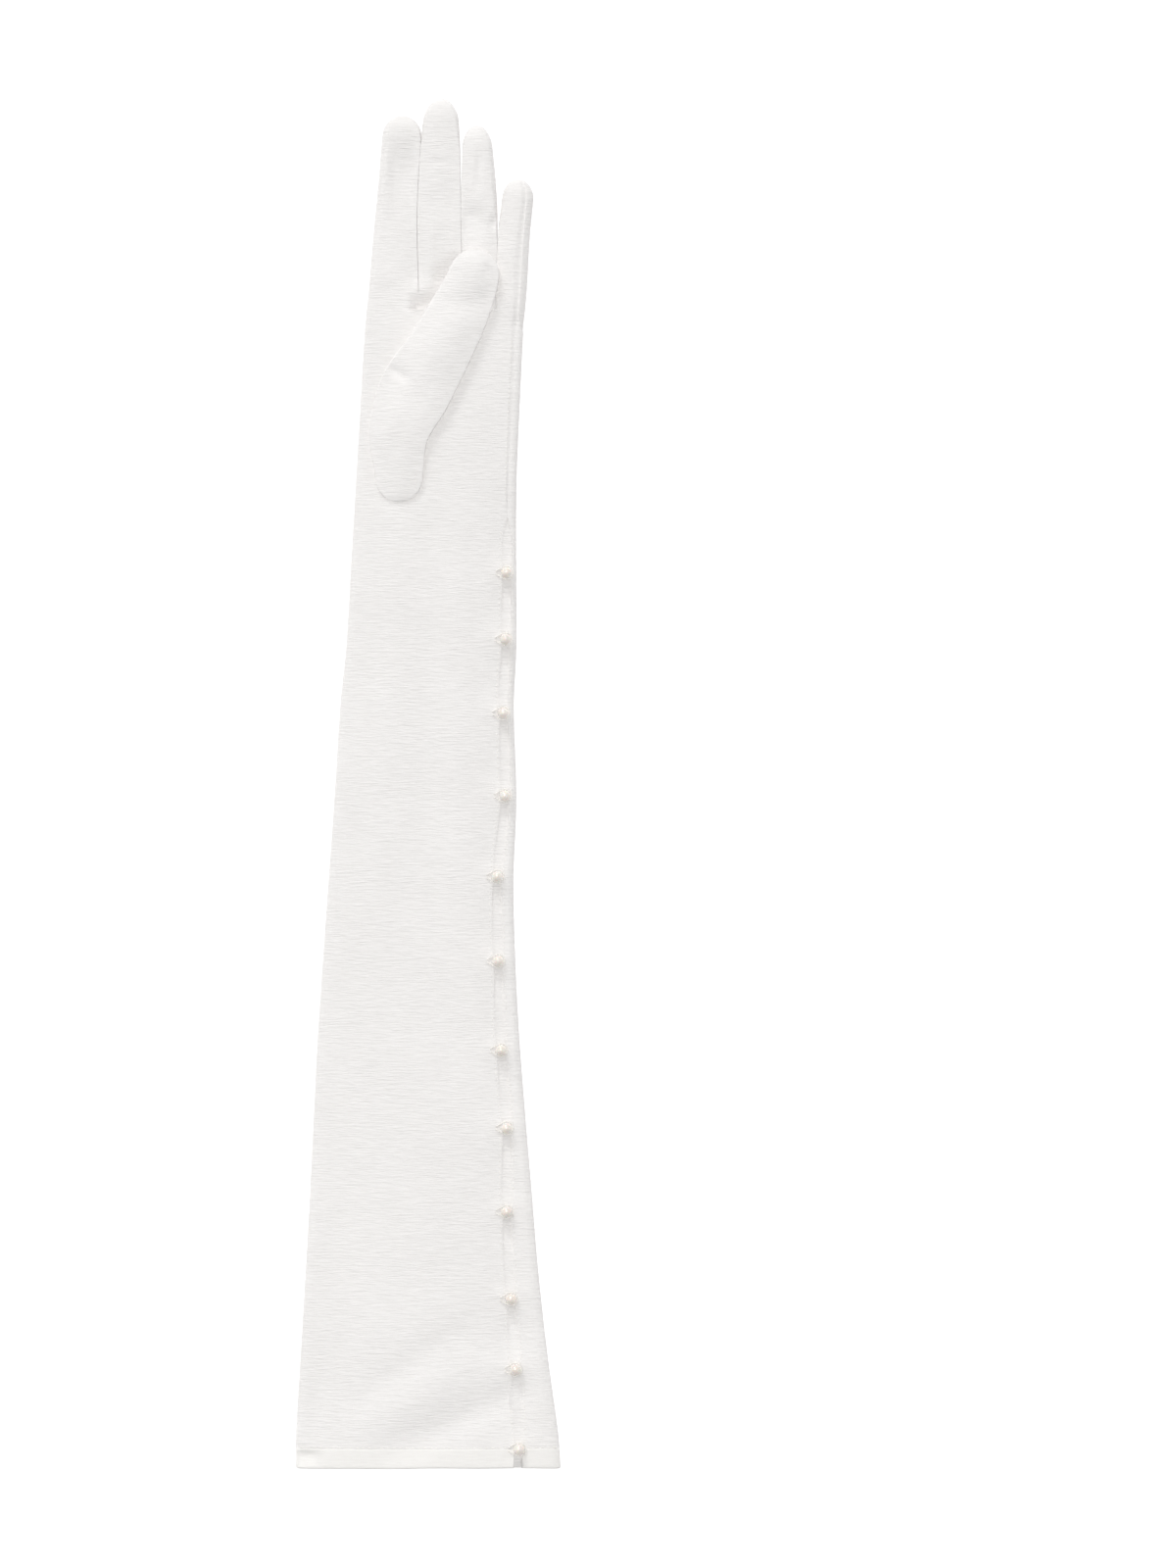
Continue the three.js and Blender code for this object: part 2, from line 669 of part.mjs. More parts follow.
pearlRows.forEach((row, index) => {
  const number = String(index + 1).padStart(2, '0');
  const y = row.along * slitLength;
  const x = slitAt(y);
  const pearl = addPiece(`pearl_${number}`, pearlGeometry(), pearlColour, 0.2);
  pearl.position.set(x, y, topAt(x, y) + pearlRise);
  addPiece(`loop_${number}`, loopGeometry(x, y), threadColour, 0.6);
});

// The origin is the middle of the resting face of the whole glove
glove.updateMatrixWorld(true);
const extent = new THREE.Box3().setFromObject(glove, true);
const middle = extent.getCenter(new THREE.Vector3());
glove.position.set(-middle.x, -middle.y, -extent.min.z);

export default glove;
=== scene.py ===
"""Looks of a long opera glove of fine ribbed tulle: a left hand, lying palm up, pearls along its slit.

Shapes are worked out in millimetres, with y = 0 at the cuff edge, x = 0 at the middle of the cuff and
z = 0 on the resting face. Loft moves them into the frame's metres when a piece is made.
"""

import logging
import math
from dataclasses import dataclass, field
from enum import Enum
from typing import Callable, Iterable, Optional, Sequence

import bpy
import numpy as np
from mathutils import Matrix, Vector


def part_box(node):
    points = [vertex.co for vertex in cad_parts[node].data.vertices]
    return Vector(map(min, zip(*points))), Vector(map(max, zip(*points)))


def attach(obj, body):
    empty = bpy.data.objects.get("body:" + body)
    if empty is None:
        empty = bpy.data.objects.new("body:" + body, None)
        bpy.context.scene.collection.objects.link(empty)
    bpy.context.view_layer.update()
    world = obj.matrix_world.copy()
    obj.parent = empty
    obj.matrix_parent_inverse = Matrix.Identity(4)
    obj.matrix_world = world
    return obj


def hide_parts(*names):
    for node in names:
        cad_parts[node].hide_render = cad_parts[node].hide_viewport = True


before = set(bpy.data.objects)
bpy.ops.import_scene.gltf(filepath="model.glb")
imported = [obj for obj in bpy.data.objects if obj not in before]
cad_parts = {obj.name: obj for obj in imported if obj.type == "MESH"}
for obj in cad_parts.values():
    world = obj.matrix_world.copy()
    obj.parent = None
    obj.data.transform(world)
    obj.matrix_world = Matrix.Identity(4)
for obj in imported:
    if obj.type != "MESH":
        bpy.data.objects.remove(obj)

log = logging.getLogger("opera_glove")

MM = 0.001
TINY = 1e-12
BODY = "root"
# Length of one wave of Blender's wave texture at scale 1.
WAVE_LENGTH = math.pi / 10

Array = np.ndarray
Triple = tuple[float, float, float]
Socket = bpy.types.NodeSocket


class Slot(Enum):
    """Material slots of the part's record."""

    TULLE = "tulle"
    PEARL = "pearl"
    THREAD = "thread"


class ClothPart(Enum):
    """Pieces of cloth that the skin of the hand is cut into."""

    TRANK = "trank"
    INDEX_MIDDLE = "fourchette_index_middle"
    MIDDLE_RING = "fourchette_middle_ring"
    RING_LITTLE = "fourchette_ring_little"


GUSSETS = (ClothPart.INDEX_MIDDLE, ClothPart.MIDDLE_RING, ClothPart.RING_LITTLE)


def smooth(value: Array, low: float, high: float) -> Array:
    """Soft step from 0 at low to 1 at high.

    Args:
        value: Where to read the step.
        low: Start of the step.
        high: End of the step.

    Returns:
        The step's height, from 0 to 1.
    """
    t = np.clip((np.asarray(value, float) - low) / (high - low), 0.0, 1.0)
    return t * t * (3 - 2 * t)


def mix(start: Array, end: Array, share: Array) -> Array:
    """Value that lies share of the way from start to end."""
    return start + (end - start) * share


def unit(directions: Array) -> Array:
    """Directions made 1 long."""
    return directions / np.maximum(np.linalg.norm(directions, axis=1), TINY)[:, None]


def face_centres(first: Array, second: Array) -> Array:
    """Middles of the faces between two rows of points that run round a piece."""
    centre = (first + second) / 2
    return (centre + np.roll(centre, -1, axis=0)) / 2


class TableCurve:
    """Smooth curve through a short table, flat past its ends."""

    def __init__(self, places: Sequence[float], values: Sequence[float]) -> None:
        """Keeps the table and works out its slopes.

        Args:
            places: Rising places of the rows.
            values: Value at each place.
        """
        self.places = np.array(places, float)
        self.values = np.array(values, float)
        last = len(places) - 1
        before = np.maximum(np.arange(last + 1) - 1, 0)
        after = np.minimum(np.arange(last + 1) + 1, last)
        rises = self.values[after] - self.values[before]
        self.slopes = rises / (self.places[after] - self.places[before])

    def __call__(self, at: Array) -> Array:
        """Value of the curve.

        Args:
            at: Places to read it at.

        Returns:
            The values there.
        """
        at = np.clip(at, self.places[0], self.places[-1])
        row = np.clip(np.searchsorted(self.places, at, side="right") - 1, 0, len(self.places) - 2)
        span = self.places[row + 1] - self.places[row]
        t = (at - self.places[row]) / span
        rise = self.values[row + 1] - self.values[row]
        start = self.slopes[row] * span
        end = self.slopes[row + 1] * span
        return (self.values[row] + t * start + t**2 * (3 * rise - 2 * start - end)
                + t**3 * (start + end - 2 * rise))


@dataclass(frozen=True)
class Fold:
    """One soft fold, dent or ridge of the cloth; it sinks where rise is below 0.

    lip is the width of its side nearer the cuff, where that side is steeper than the other one.
    """

    x: float
    y: float
    turn: float
    length: float
    width: float
    rise: float
    lip: Optional[float] = None

    def height(self, x: Array, y: Array) -> Array:
        """Height that the fold adds.

        Args:
            x: Places across the glove.
            y: Places along the glove.

        Returns:
            The added height at each place.
        """
        turn = math.radians(self.turn)
        dx = x - self.x
        dy = y - self.y
        along = (dx * math.cos(turn) + dy * math.sin(turn)) / (self.length / 2)
        across = dy * math.cos(turn) - dx * math.sin(turn)
        across = across / np.where(across < 0, self.lip or self.width, self.width)
        return self.rise * np.exp(-(across**2) - along**4)


def relief(folds: Iterable[Fold], x: Array, y: Array) -> Array:
    """Sum of some folds.

    Args:
        folds: The folds.
        x: Places across the glove.
        y: Places along the glove.

    Returns:
        The height that they add together.
    """
    total = np.zeros(np.broadcast(x, y).shape)
    for fold in folds:
        total = total + fold.height(x, y)
    return total


@dataclass(frozen=True)
class Finger:
    """One finger: its length from its crotch, and its edges as shares of the palm's width.

    left_round and right_round are pairs of a place along the finger and the rounding of its edge there.
    """

    name: str
    length: float
    crotch: float
    along: tuple[float, ...]
    left: tuple[float, ...]
    right: tuple[float, ...]
    top_columns: int
    back_columns: int
    left_round: tuple[tuple[float, float], ...]
    right_round: tuple[tuple[float, float], ...]


@dataclass(frozen=True)
class ThumbHole:
    """The oval hole in the palm that the thumb's tube opens into."""

    length: float
    width: float
    middle: tuple[float, float] = (-11.9, 453.0)

    def holds(self, x: float, y: float) -> bool:
        """Whether a place lies over the hole."""
        dx = (x - self.middle[0]) / (self.width / 2)
        dy = (y - self.middle[1]) / (self.length / 2)
        return dx * dx + dy * dy < 1


@dataclass
class GloveForm:
    """Outline and heights of the lying glove, which every piece is laid out on."""

    cuff_width: float = 116.0
    palm_width: float = 69.0
    sleeve_length: float = 514.0
    root_slant: float = 18.0
    edge_radius: float = 3.0
    sleeve_crown: float = 4.0
    finger_radius: float = 3.2
    finger_crown: float = 1.2
    middle_length: float = 86.0
    hem_height: float = 9.0
    slit_length: float = 415.4
    slit_width: float = 3.6
    slit_taper: float = 9.0
    slit_point: float = 0.02
    slit_slack: float = 0.45
    pull_reach: float = 7.0
    placket_dip: float = 1.0
    dip_reach: float = 9.0
    dip_start: tuple[float, float] = (2.0, 16.0)
    dip_end: tuple[float, float] = (-10.0, 25.0)
    root_bend: float = 0.45
    root_past: float = 1.2
    fold_edge: float = 0.8
    # Share of the sleeve's length, and the flare, lean and crown there.
    sections: tuple[tuple[float, float, float, float], ...] = (
        (0.0, 1.0, 0.0, 1.0), (0.03, 0.975, -0.008, 1.0), (0.1, 0.826, -0.028, 0.95),
        (0.17, 0.697, -0.041, 0.9), (0.23, 0.606, -0.047, 0.85), (0.3, 0.505, -0.056, 0.8),
        (0.366, 0.413, -0.0625, 0.78), (0.43, 0.33, -0.059, 0.75), (0.5, 0.257, -0.047, 0.72),
        (0.57, 0.229, -0.019, 0.7), (0.65, 0.15, -0.008, 0.7), (0.7, 0.119, 0.019, 0.7),
        (0.77, 0.073, 0.034, 0.72), (0.84, 0.03, 0.05, 0.75), (0.9, 0.018, 0.072, 0.75),
        (0.97, 0.01, 0.1, 0.7), (1.0, 0.0, 0.119, 0.66),
    )
    # Share of the slit's length, and distance from the right edge as a share of the cuff's width.
    pearls: tuple[tuple[float, float], ...] = (
        (0.944, 0.0365), (0.874, 0.041), (0.796, 0.04), (0.709, 0.043), (0.624, 0.061),
        (0.535, 0.065), (0.441, 0.072), (0.359, 0.074), (0.271, 0.1), (0.179, 0.113),
        (0.105, 0.128), (0.021, 0.152),
    )
    slit_ends: tuple[float, float] = (0.157, 0.034)
    # Folds of the sleeve: x, y, turn, length, width and rise.
    folds: tuple[Fold, ...] = (
        Fold(14.0, 21.5, 26.0, 70.0, 7.5, -1.5),
        Fold(-5.0, 31.5, 31.0, 60.0, 7.5, 0.8),
        Fold(26.0, 56.0, 6.0, 30.0, 7.0, -0.5),
        Fold(-1.0, 51.0, 33.0, 72.0, 5.8, -0.6),
        Fold(-46.0, 53.0, 84.0, 128.0, 11.6, -0.8),
        Fold(0.0, 336.0, 89.0, 174.0, 5.2, -0.5),
        Fold(14.0, 342.0, 91.0, 162.0, 5.8, 0.5),
        Fold(-16.0, 336.0, 88.0, 151.0, 5.8, 0.5),
    )
    # Folds of the hand and of the hem's corner, the pocket first: x, y, turn, length, width, rise, lip.
    hand_folds: tuple[Fold, ...] = (
        Fold(-1.4, 506.2, 0.0, 11.5, 6.8, -4.0, 0.04),
        Fold(10.5, 518.6, 60.0, 24.0, 6.5, -3.2),
        Fold(-11.3, 568.5, 0.0, 10.5, 12.0, -2.0, 20.0),
        Fold(4.5, 553.0, 0.0, 13.0, 8.0, -0.9),
        Fold(5.5, 531.0, 88.0, 30.0, 2.6, -0.9),
        Fold(19.8, 547.5, 4.0, 9.5, 5.0, -1.5, 8.0),
        Fold(22.0, 567.0, 88.0, 17.0, 1.4, -0.8),
        Fold(5.0, 572.0, 0.0, 12.0, 0.9, -0.4),
        Fold(29.0, 545.5, 60.0, 7.0, 1.8, -1.2),
        Fold(-53.0, 5.8, 0.0, 9.5, 2.4, -1.6, 5.0),
        Fold(-50.0, 24.0, 74.0, 30.0, 3.0, -0.4),
    )

    def __post_init__(self) -> None:
        """Makes the smooth curves of the tables."""
        at, flare, lean, crown = zip(*self.sections)
        self._flare = TableCurve(at, flare)
        self._lean = TableCurve(at, lean)
        self._crown = TableCurve(at, crown)
        rows = [(0.0, self.slit_ends[0]), *reversed(self.pearls), (1.0, self.slit_ends[1])]
        self._slit = TableCurve(*zip(*rows))

    def half(self, y: Array) -> Array:
        """Half the width of the sleeve or palm."""
        flare = self._flare(y / self.sleeve_length)
        return (self.palm_width + flare * (self.cuff_width - self.palm_width)) / 2

    def middle(self, y: Array) -> Array:
        """Middle of the sleeve or palm."""
        return self._lean(y / self.sleeve_length) * self.palm_width

    def crown(self, y: Array) -> Array:
        """Rise of the upper layer above its edges."""
        return self._crown(y / self.sleeve_length) * self.sleeve_crown

    def left(self, y: Array) -> Array:
        """Index-side edge of the sleeve or palm."""
        return self.middle(y) - self.half(y)

    def right(self, y: Array) -> Array:
        """Little-finger edge of the sleeve or palm."""
        return self.middle(y) + self.half(y)

    def palm_across(self, share: Array) -> Array:
        """Place across the palm at the finger roots, from a share of the palm's width."""
        return self.middle(self.sleeve_length) + (np.asarray(share) - 0.5) * self.palm_width

    def root_line(self, x: Array) -> Array:
        """Line of the finger roots at a place across the palm."""
        share = (x - self.palm_across(0.0)) / self.palm_width
        bend = np.clip((share - self.root_bend) / (1 - self.root_bend), 0, self.root_past)
        return self.sleeve_length - self.root_slant * bend**2

    def slit_at(self, y: Array) -> Array:
        """Middle of the slit, and of the side seam that carries it on."""
        return self.right(y) - self._slit(y / self.slit_length) * self.cuff_width

    def pearl_rows(self) -> Array:
        """Distances of the pearls from the cuff edge."""
        return np.array([along for along, _ in self.pearls]) * self.slit_length

    def pearl_pull(self, y: Array) -> Array:
        """Nearness of the closest pearl along the slit.

        Args:
            y: Places along the glove.

        Returns:
            1 at a pearl, falling to 0 between two of them.
        """
        away = np.abs(np.asarray(y, float)[..., None] - self.pearl_rows()).min(axis=-1)
        return np.exp(-((away / self.pull_reach) ** 2))

    def slit_half(self, y: Array) -> Array:
        """Half the width of the slit: drawn together at the pearls, pointed at its end."""
        taper = np.sqrt(np.clip((self.slit_length - y) / self.slit_taper, self.slit_point, 1))
        return (self.slit_width / 2 + self.slit_slack * (1 - self.pearl_pull(y))) * taper

    def plain_top(self, x: Array, y: Array, inset: float = 0.0) -> Array:
        """Height of the upper cloth without its folds.

        Args:
            x: Places across the glove.
            y: Places along the glove.
            inset: Distance inwards from the outer face.

        Returns:
            The height at each place.
        """
        half = self.half(y) - inset
        radius = self.edge_radius - inset
        offset = np.clip(x - self.middle(y), -half, half)
        past = np.clip(np.abs(offset) - (half - radius), 0, radius)
        edge = self.edge_radius + np.sqrt(np.maximum(radius**2 - past**2, 0))
        return edge + self.crown(y) * (1 - (offset / half) ** 2)

    def top(self, x: Array, y: Array, inset: float = 0.0) -> Array:
        """Height of the upper cloth with its folds and the dips between the pearls.

        Args:
            x: Places across the glove.
            y: Places along the glove.
            inset: Distance inwards from the outer face.

        Returns:
            The height at each place.
        """
        half = self.half(y)
        fade = 1 - smooth(np.abs(x - self.middle(y)), half * self.fold_edge, half)
        folds = relief(self.folds, x, y) * fade + relief(self.hand_folds, x, y)
        return self.plain_top(x, y, inset) + folds - self.dip(x, y)

    def dip(self, x: Array, y: Array) -> Array:
        """How far the cloth beside the slit sinks between two pearls."""
        beside = np.exp(-(((x - self.slit_at(y)) / self.dip_reach) ** 2))
        low, high = self.slit_length + np.array(self.dip_end)
        ends = smooth(y, *self.dip_start) * (1 - smooth(y, low, high))
        return self.placket_dip * (1 - self.pearl_pull(y)) * beside * ends

    def under(self, x: Array, y: Array, inset: float = 0.0) -> Array:
        """Height of the lower cloth, which lies flat but for its rounded edges."""
        half = self.half(y) - inset
        radius = self.edge_radius - inset
        past = np.clip(np.abs(x - self.middle(y)) - (half - radius), 0, radius)
        return self.edge_radius - np.sqrt(np.maximum(radius**2 - past**2, 0))


@dataclass
class Loft:
    """Mesh in the making: points in millimetres and faces, each face with the name of its piece."""

    points: list[Array] = field(default_factory=list)
    faces: list[tuple[int, ...]] = field(default_factory=list)
    parts: list[str] = field(default_factory=list)
    count: int = 0
    lowest_lining: float = 0.05

    def add(self, points: Array) -> Array:
        """Adds points.

        Args:
            points: Rows of x, y, z.

        Returns:
            The number of each point.
        """
        self.points.append(np.asarray(points, float).reshape(-1, 3))
        numbers = np.arange(self.count, self.count + len(self.points[-1]))
        self.count += len(numbers)
        return numbers

    def face(self, corners: Sequence[int], part: str = "") -> None:
        """Adds one face of a piece."""
        self.faces.append(tuple(int(corner) for corner in corners))
        self.parts.append(part)

    def skin(self, first: Array, second: Array, part: Callable[[int], Optional[str]],
             closed: bool = True) -> None:
        """Joins two rows of points with faces.

        Args:
            first: Numbers of the row nearer the cuff.
            second: Numbers of the row beyond it.
            part: Name of the piece of each column, or None where there is no cloth.
            closed: Whether the last column joins the first one.
        """
        size = len(first)
        for i in range(size if closed else size - 1):
            name = part(i)
            if name is not None:
                j = (i + 1) % size
                self.face((first[i], first[j], second[j], second[i]), name)

    def tube(self, rings: Sequence[Array]) -> None:
        """Tube with closed ends through rings that have the same number of points.

        Args:
            rings: The rings, from one end to the other.
        """
        rows = [self.add(ring) for ring in rings]
        for first, second in zip(rows, rows[1:]):
            self.skin(first, second, lambda _: "")
        self.face(rows[0][::-1])
        self.face(rows[-1])

    def normals(self) -> Array:
        """Directions outwards at the points, averaged over the faces of all the pieces.

        Returns:
            One unit direction a point.
        """
        points = np.concatenate(self.points)
        total = np.zeros_like(points)
        for size in sorted({len(face) for face in self.faces}):
            corners = np.array([face for face in self.faces if len(face) == size])
            spread = np.zeros((len(corners), 3))
            for k in range(1, size - 1):
                spread += np.cross(points[corners[:, k]] - points[corners[:, 0]],
                                   points[corners[:, k + 1]] - points[corners[:, 0]])
            for k in range(size):
                np.add.at(total, corners[:, k], spread)
        return unit(total)

    def build(self, name: str, placing: "Placing", part: Optional[str] = None,
              cloth: float = 0.0) -> bpy.types.Object:
        """Makes a Blender object.

        Args:
            name: Name of the object.
            placing: Where the glove's own origin lies in the frame.
            part: Only the faces of this piece, or all of them.
            cloth: Thickness that the skin is given inwards, or 0 for a closed body.

        Returns:
            The object, smooth-shaded, in metres.
        """
        chosen = [f for f, p in zip(self.faces, self.parts) if part is None or p == part]
        points = np.concatenate(self.points)
        used = np.unique(np.concatenate([np.array(f) for f in chosen]))
        renumber = np.full(len(points), -1)
        renumber[used] = np.arange(len(used))
        faces = [renumber[list(f)].tolist() for f in chosen]
        shown = points[used]
        if cloth:
            outward = self.normals()[used]
            faces, turns = with_lining(faces, shown, outward, cloth)
            inner = shown - cloth * outward
            inner[:, 2] = np.maximum(inner[:, 2], self.lowest_lining)
            shown = np.concatenate([shown, inner])
        mesh = bpy.data.meshes.new(name)
        mesh.from_pydata(placing.to_frame(shown).tolist(), [], faces)
        mesh.polygons.foreach_set("use_smooth", [True] * len(faces))
        mesh.update()
        if cloth:
            mesh.normals_split_custom_set(turns.tolist())
        made = bpy.data.objects.new(name, mesh)
        bpy.context.scene.collection.objects.link(made)
        return made


def with_lining(faces: list[list[int]], points: Array, outward: Array,
                cloth: float) -> tuple[list[list[int]], Array]:
    """Adds the inner faces and the cut edges of a skin of cloth.

    Args:
        faces: Outer faces.
        points: Outer points.
        outward: Direction outwards at each point.
        cloth: Thickness of the cloth.

    Returns:
        All the faces, where point n + i lies inside point i, and the direction of shading at each
        corner of each face.
    """
    size = len(points)
    sides: dict[tuple[int, int], Optional[tuple[int, int]]] = {}
    for face in faces:
        for a, b in zip(face, face[1:] + face[:1]):
            key = (min(a, b), max(a, b))
            sides[key] = None if key in sides else (a, b)
    lining = [[corner + size for corner in reversed(face)] for face in faces]
    cuts = [[b, a, a + size, b + size] for a, b in filter(None, sides.values())]
    turns = [outward[[corner for face in faces for corner in face]]]
    turns.append(-outward[[corner for face in faces for corner in reversed(face)]])
    if cuts:
        ends = np.array(cuts)
        across = np.cross(points[ends[:, 1]] - points[ends[:, 0]], -outward[ends[:, 1]] * cloth)
        turns.append(np.repeat(unit(across), 4, axis=0))
    return faces + lining + cuts, np.concatenate(turns)


@dataclass(frozen=True)
class Placing:
    """Where x = 0 and y = 0 of the glove's own millimetres lie in the frame."""

    x: float
    y: float

    @classmethod
    def of_cuff(cls, form: GloveForm) -> "Placing":
        """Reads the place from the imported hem.

        Args:
            form: Outline of the glove.

        Returns:
            The place of the glove's own origin.
        """
        low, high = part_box("cuff_hem")
        widest = float(np.max(form.right(np.linspace(0, form.hem_height, 19))))
        return cls(high.x / MM - widest, low.y / MM)

    def to_frame(self, points: Array) -> Array:
        """Points in the frame's metres."""
        return (np.asarray(points) + np.array([self.x, self.y, 0.0])) * MM


class NodeBoard:
    """Node tree of one material, with short calls for adding and joining nodes."""

    def __init__(self, name: str) -> None:
        """Starts a material that has only its output.

        Args:
            name: Name of the material.
        """
        self.material = bpy.data.materials.new(name)
        self.material.use_nodes = True
        self.tree = self.material.node_tree
        self.tree.nodes.clear()
        self.output = self.node("ShaderNodeOutputMaterial")

    def node(self, kind: str, inputs: Optional[dict[str, object]] = None,
             **settings: object) -> bpy.types.Node:
        """Adds a node.

        Args:
            kind: Blender's name of the node type.
            inputs: Values or output sockets for its inputs.
            **settings: Its properties.

        Returns:
            The node.
        """
        made = self.tree.nodes.new(kind)
        for key, value in settings.items():
            setattr(made, key, value)
        for key, value in (inputs or {}).items():
            socket = made.inputs[key]
            if isinstance(value, Socket):
                self.tree.links.new(value, socket)
            else:
                socket.default_value = value
        return made

    def place(self, scale: Triple) -> Socket:
        """Object coordinates stretched by scale, as the vector of a texture."""
        coordinates = self.node("ShaderNodeTexCoord")
        mapping = self.node("ShaderNodeMapping", {"Vector": coordinates.outputs["Object"], "Scale": scale})
        return mapping.outputs["Vector"]

    def noise(self, scale: Triple, detail: float = 2.0, rough: float = 0.5) -> Socket:
        """Noise texture in object coordinates.

        Args:
            scale: Grains per metre along x, y and z.
            detail: Number of finer layers.
            rough: Share of the finer layers.

        Returns:
            The noise from 0 to 1.
        """
        made = self.node("ShaderNodeTexNoise", {
            "Vector": self.place(scale), "Scale": 1.0, "Detail": detail, "Roughness": rough,
        })
        return made.outputs["Fac"]

    def waves(self, direction: str, per_metre: float, wander: float) -> Socket:
        """Parallel waves in object coordinates.

        Args:
            direction: X, Y or Z, across the waves.
            per_metre: Number of waves in a metre.
            wander: How much noise bends them.

        Returns:
            The wave from 0 to 1.
        """
        made = self.node("ShaderNodeTexWave", {
            "Vector": self.place((1.0, 1.0, 1.0)), "Scale": per_metre * WAVE_LENGTH, "Distortion": wander,
            "Detail": 2.0, "Detail Scale": 0.6,
        }, bands_direction=direction, wave_profile="SIN")
        return made.outputs["Fac"]

    def sum(self, parts: Sequence[tuple[Socket, float]]) -> Socket:
        """Weighted sum of textures.

        Args:
            parts: Each texture with its weight.

        Returns:
            The sum.
        """
        total: Optional[Socket] = None
        for socket, weight in parts:
            scaled = self.node("ShaderNodeMath", {0: socket, 1: weight}, operation="MULTIPLY").outputs[0]
            if total is None:
                total = scaled
            else:
                total = self.node("ShaderNodeMath", {0: total, 1: scaled}, operation="ADD").outputs[0]
        return total

    def ramp(self, value: Socket, stops: Sequence[tuple[float, Triple]]) -> Socket:
        """Colours along a value.

        Args:
            value: The value.
            stops: Places from 0 to 1 with their colours.

        Returns:
            The colour.
        """
        made = self.node("ShaderNodeValToRGB", {"Fac": value})
        elements = made.color_ramp.elements
        for index, (place, colour) in enumerate(stops):
            element = elements[index] if index < 2 else elements.new(place)
            element.position = place
            element.color = (*colour, 1.0)
        return made.outputs["Color"]

    def bump(self, height: Socket, depth: float, strength: float = 1.0,
             coarse: Optional[Socket] = None) -> Socket:
        """Bump of the surface.

        Args:
            height: Texture of its height.
            depth: Its depth in metres.
            strength: Share of it that shows.
            coarse: Coarser bump that this one is added to.

        Returns:
            The direction of the surface.
        """
        inputs = {"Height": height, "Distance": depth, "Strength": strength}
        if coarse is not None:
            inputs["Normal"] = coarse
        return self.node("ShaderNodeBump", inputs).outputs["Normal"]

    def finish(self, shader: Socket) -> bpy.types.Material:
        """Joins the shader to the output and gives the material."""
        self.tree.links.new(shader, self.output.inputs["Surface"])
        return self.material


@dataclass(frozen=True)
class TulleFinish:
    """Ivory cotton tulle with fine irregular ribs across the glove; the grooves of the ribs carry painted
    shade.
    """

    name: str = "ivory_tulle"
    light: Triple = (0.872, 0.855, 0.842)
    deep: Triple = (0.788, 0.771, 0.756)
    ribs_per_metre: float = 1180.0
    rib_length: float = 0.007
    rib_depth: float = 0.00038
    fine_rib_ratio: float = 1.9
    mesh_per_metre: float = 2300.0
    mesh_wander: float = 1.2
    mesh_depth: float = 0.00005
    mesh_strength: float = 0.6
    blotches_per_metre: Triple = (22.0, 30.0, 22.0)
    # Shares of the two rib textures, which paint shade into the rib grooves, and of the random blotches in
    # the colour.
    groove_shade_and_tone_shares: Triple = (0.5, 0.2, 0.3)
    tone_range: tuple[float, float] = (0.3, 0.68)
    bump_shares: tuple[float, float] = (0.75, 0.25)
    roughness: tuple[float, float] = (0.79, 0.93)
    sheen: float = 0.35
    specular: float = 0.2

    def material(self) -> bpy.types.Material:
        """Makes the material.

        Returns:
            Cloth with ribs whose grooves are painted darker as shade, open mesh, soft blotches of random
            tone and a little sheen.
        """
        board = NodeBoard(self.name)
        across = 1 / self.rib_length
        ribs = board.noise((across, self.ribs_per_metre, across), 1.5, 0.6)
        fine_along = self.ribs_per_metre * self.fine_rib_ratio
        fine_ribs = board.noise((across * 3, fine_along, across * 3), 1.0, 0.5)
        mesh_x = board.waves("X", self.mesh_per_metre, self.mesh_wander)
        mesh_y = board.waves("Y", self.mesh_per_metre, self.mesh_wander)
        blotches = board.noise(self.blotches_per_metre, 3.0, 0.55)
        cells = board.node("ShaderNodeMath", {0: mesh_x, 1: mesh_y}, operation="MULTIPLY").outputs[0]
        # Painted shade: the rib textures that make the bump also darken the colour in the rib grooves; the
        # blotches add random tone of the cloth.
        tone = board.sum(list(zip((ribs, fine_ribs, blotches), self.groove_shade_and_tone_shares)))
        colour = board.ramp(tone, list(zip(self.tone_range, (self.deep, self.light))))
        ribbed = board.bump(board.sum(list(zip((ribs, fine_ribs), self.bump_shares))), self.rib_depth)
        weave = board.bump(cells, self.mesh_depth, self.mesh_strength, ribbed)
        low, high = self.roughness
        rough = board.node("ShaderNodeMapRange", {"Value": tone, "To Min": low, "To Max": high})
        shader = board.node("ShaderNodeBsdfPrincipled", {
            "Base Color": colour, "Roughness": rough.outputs["Result"], "Normal": weave,
            "Sheen Weight": self.sheen, "Sheen Roughness": 0.35, "Specular IOR Level": self.specular,
        })
        return board.finish(shader.outputs["BSDF"])


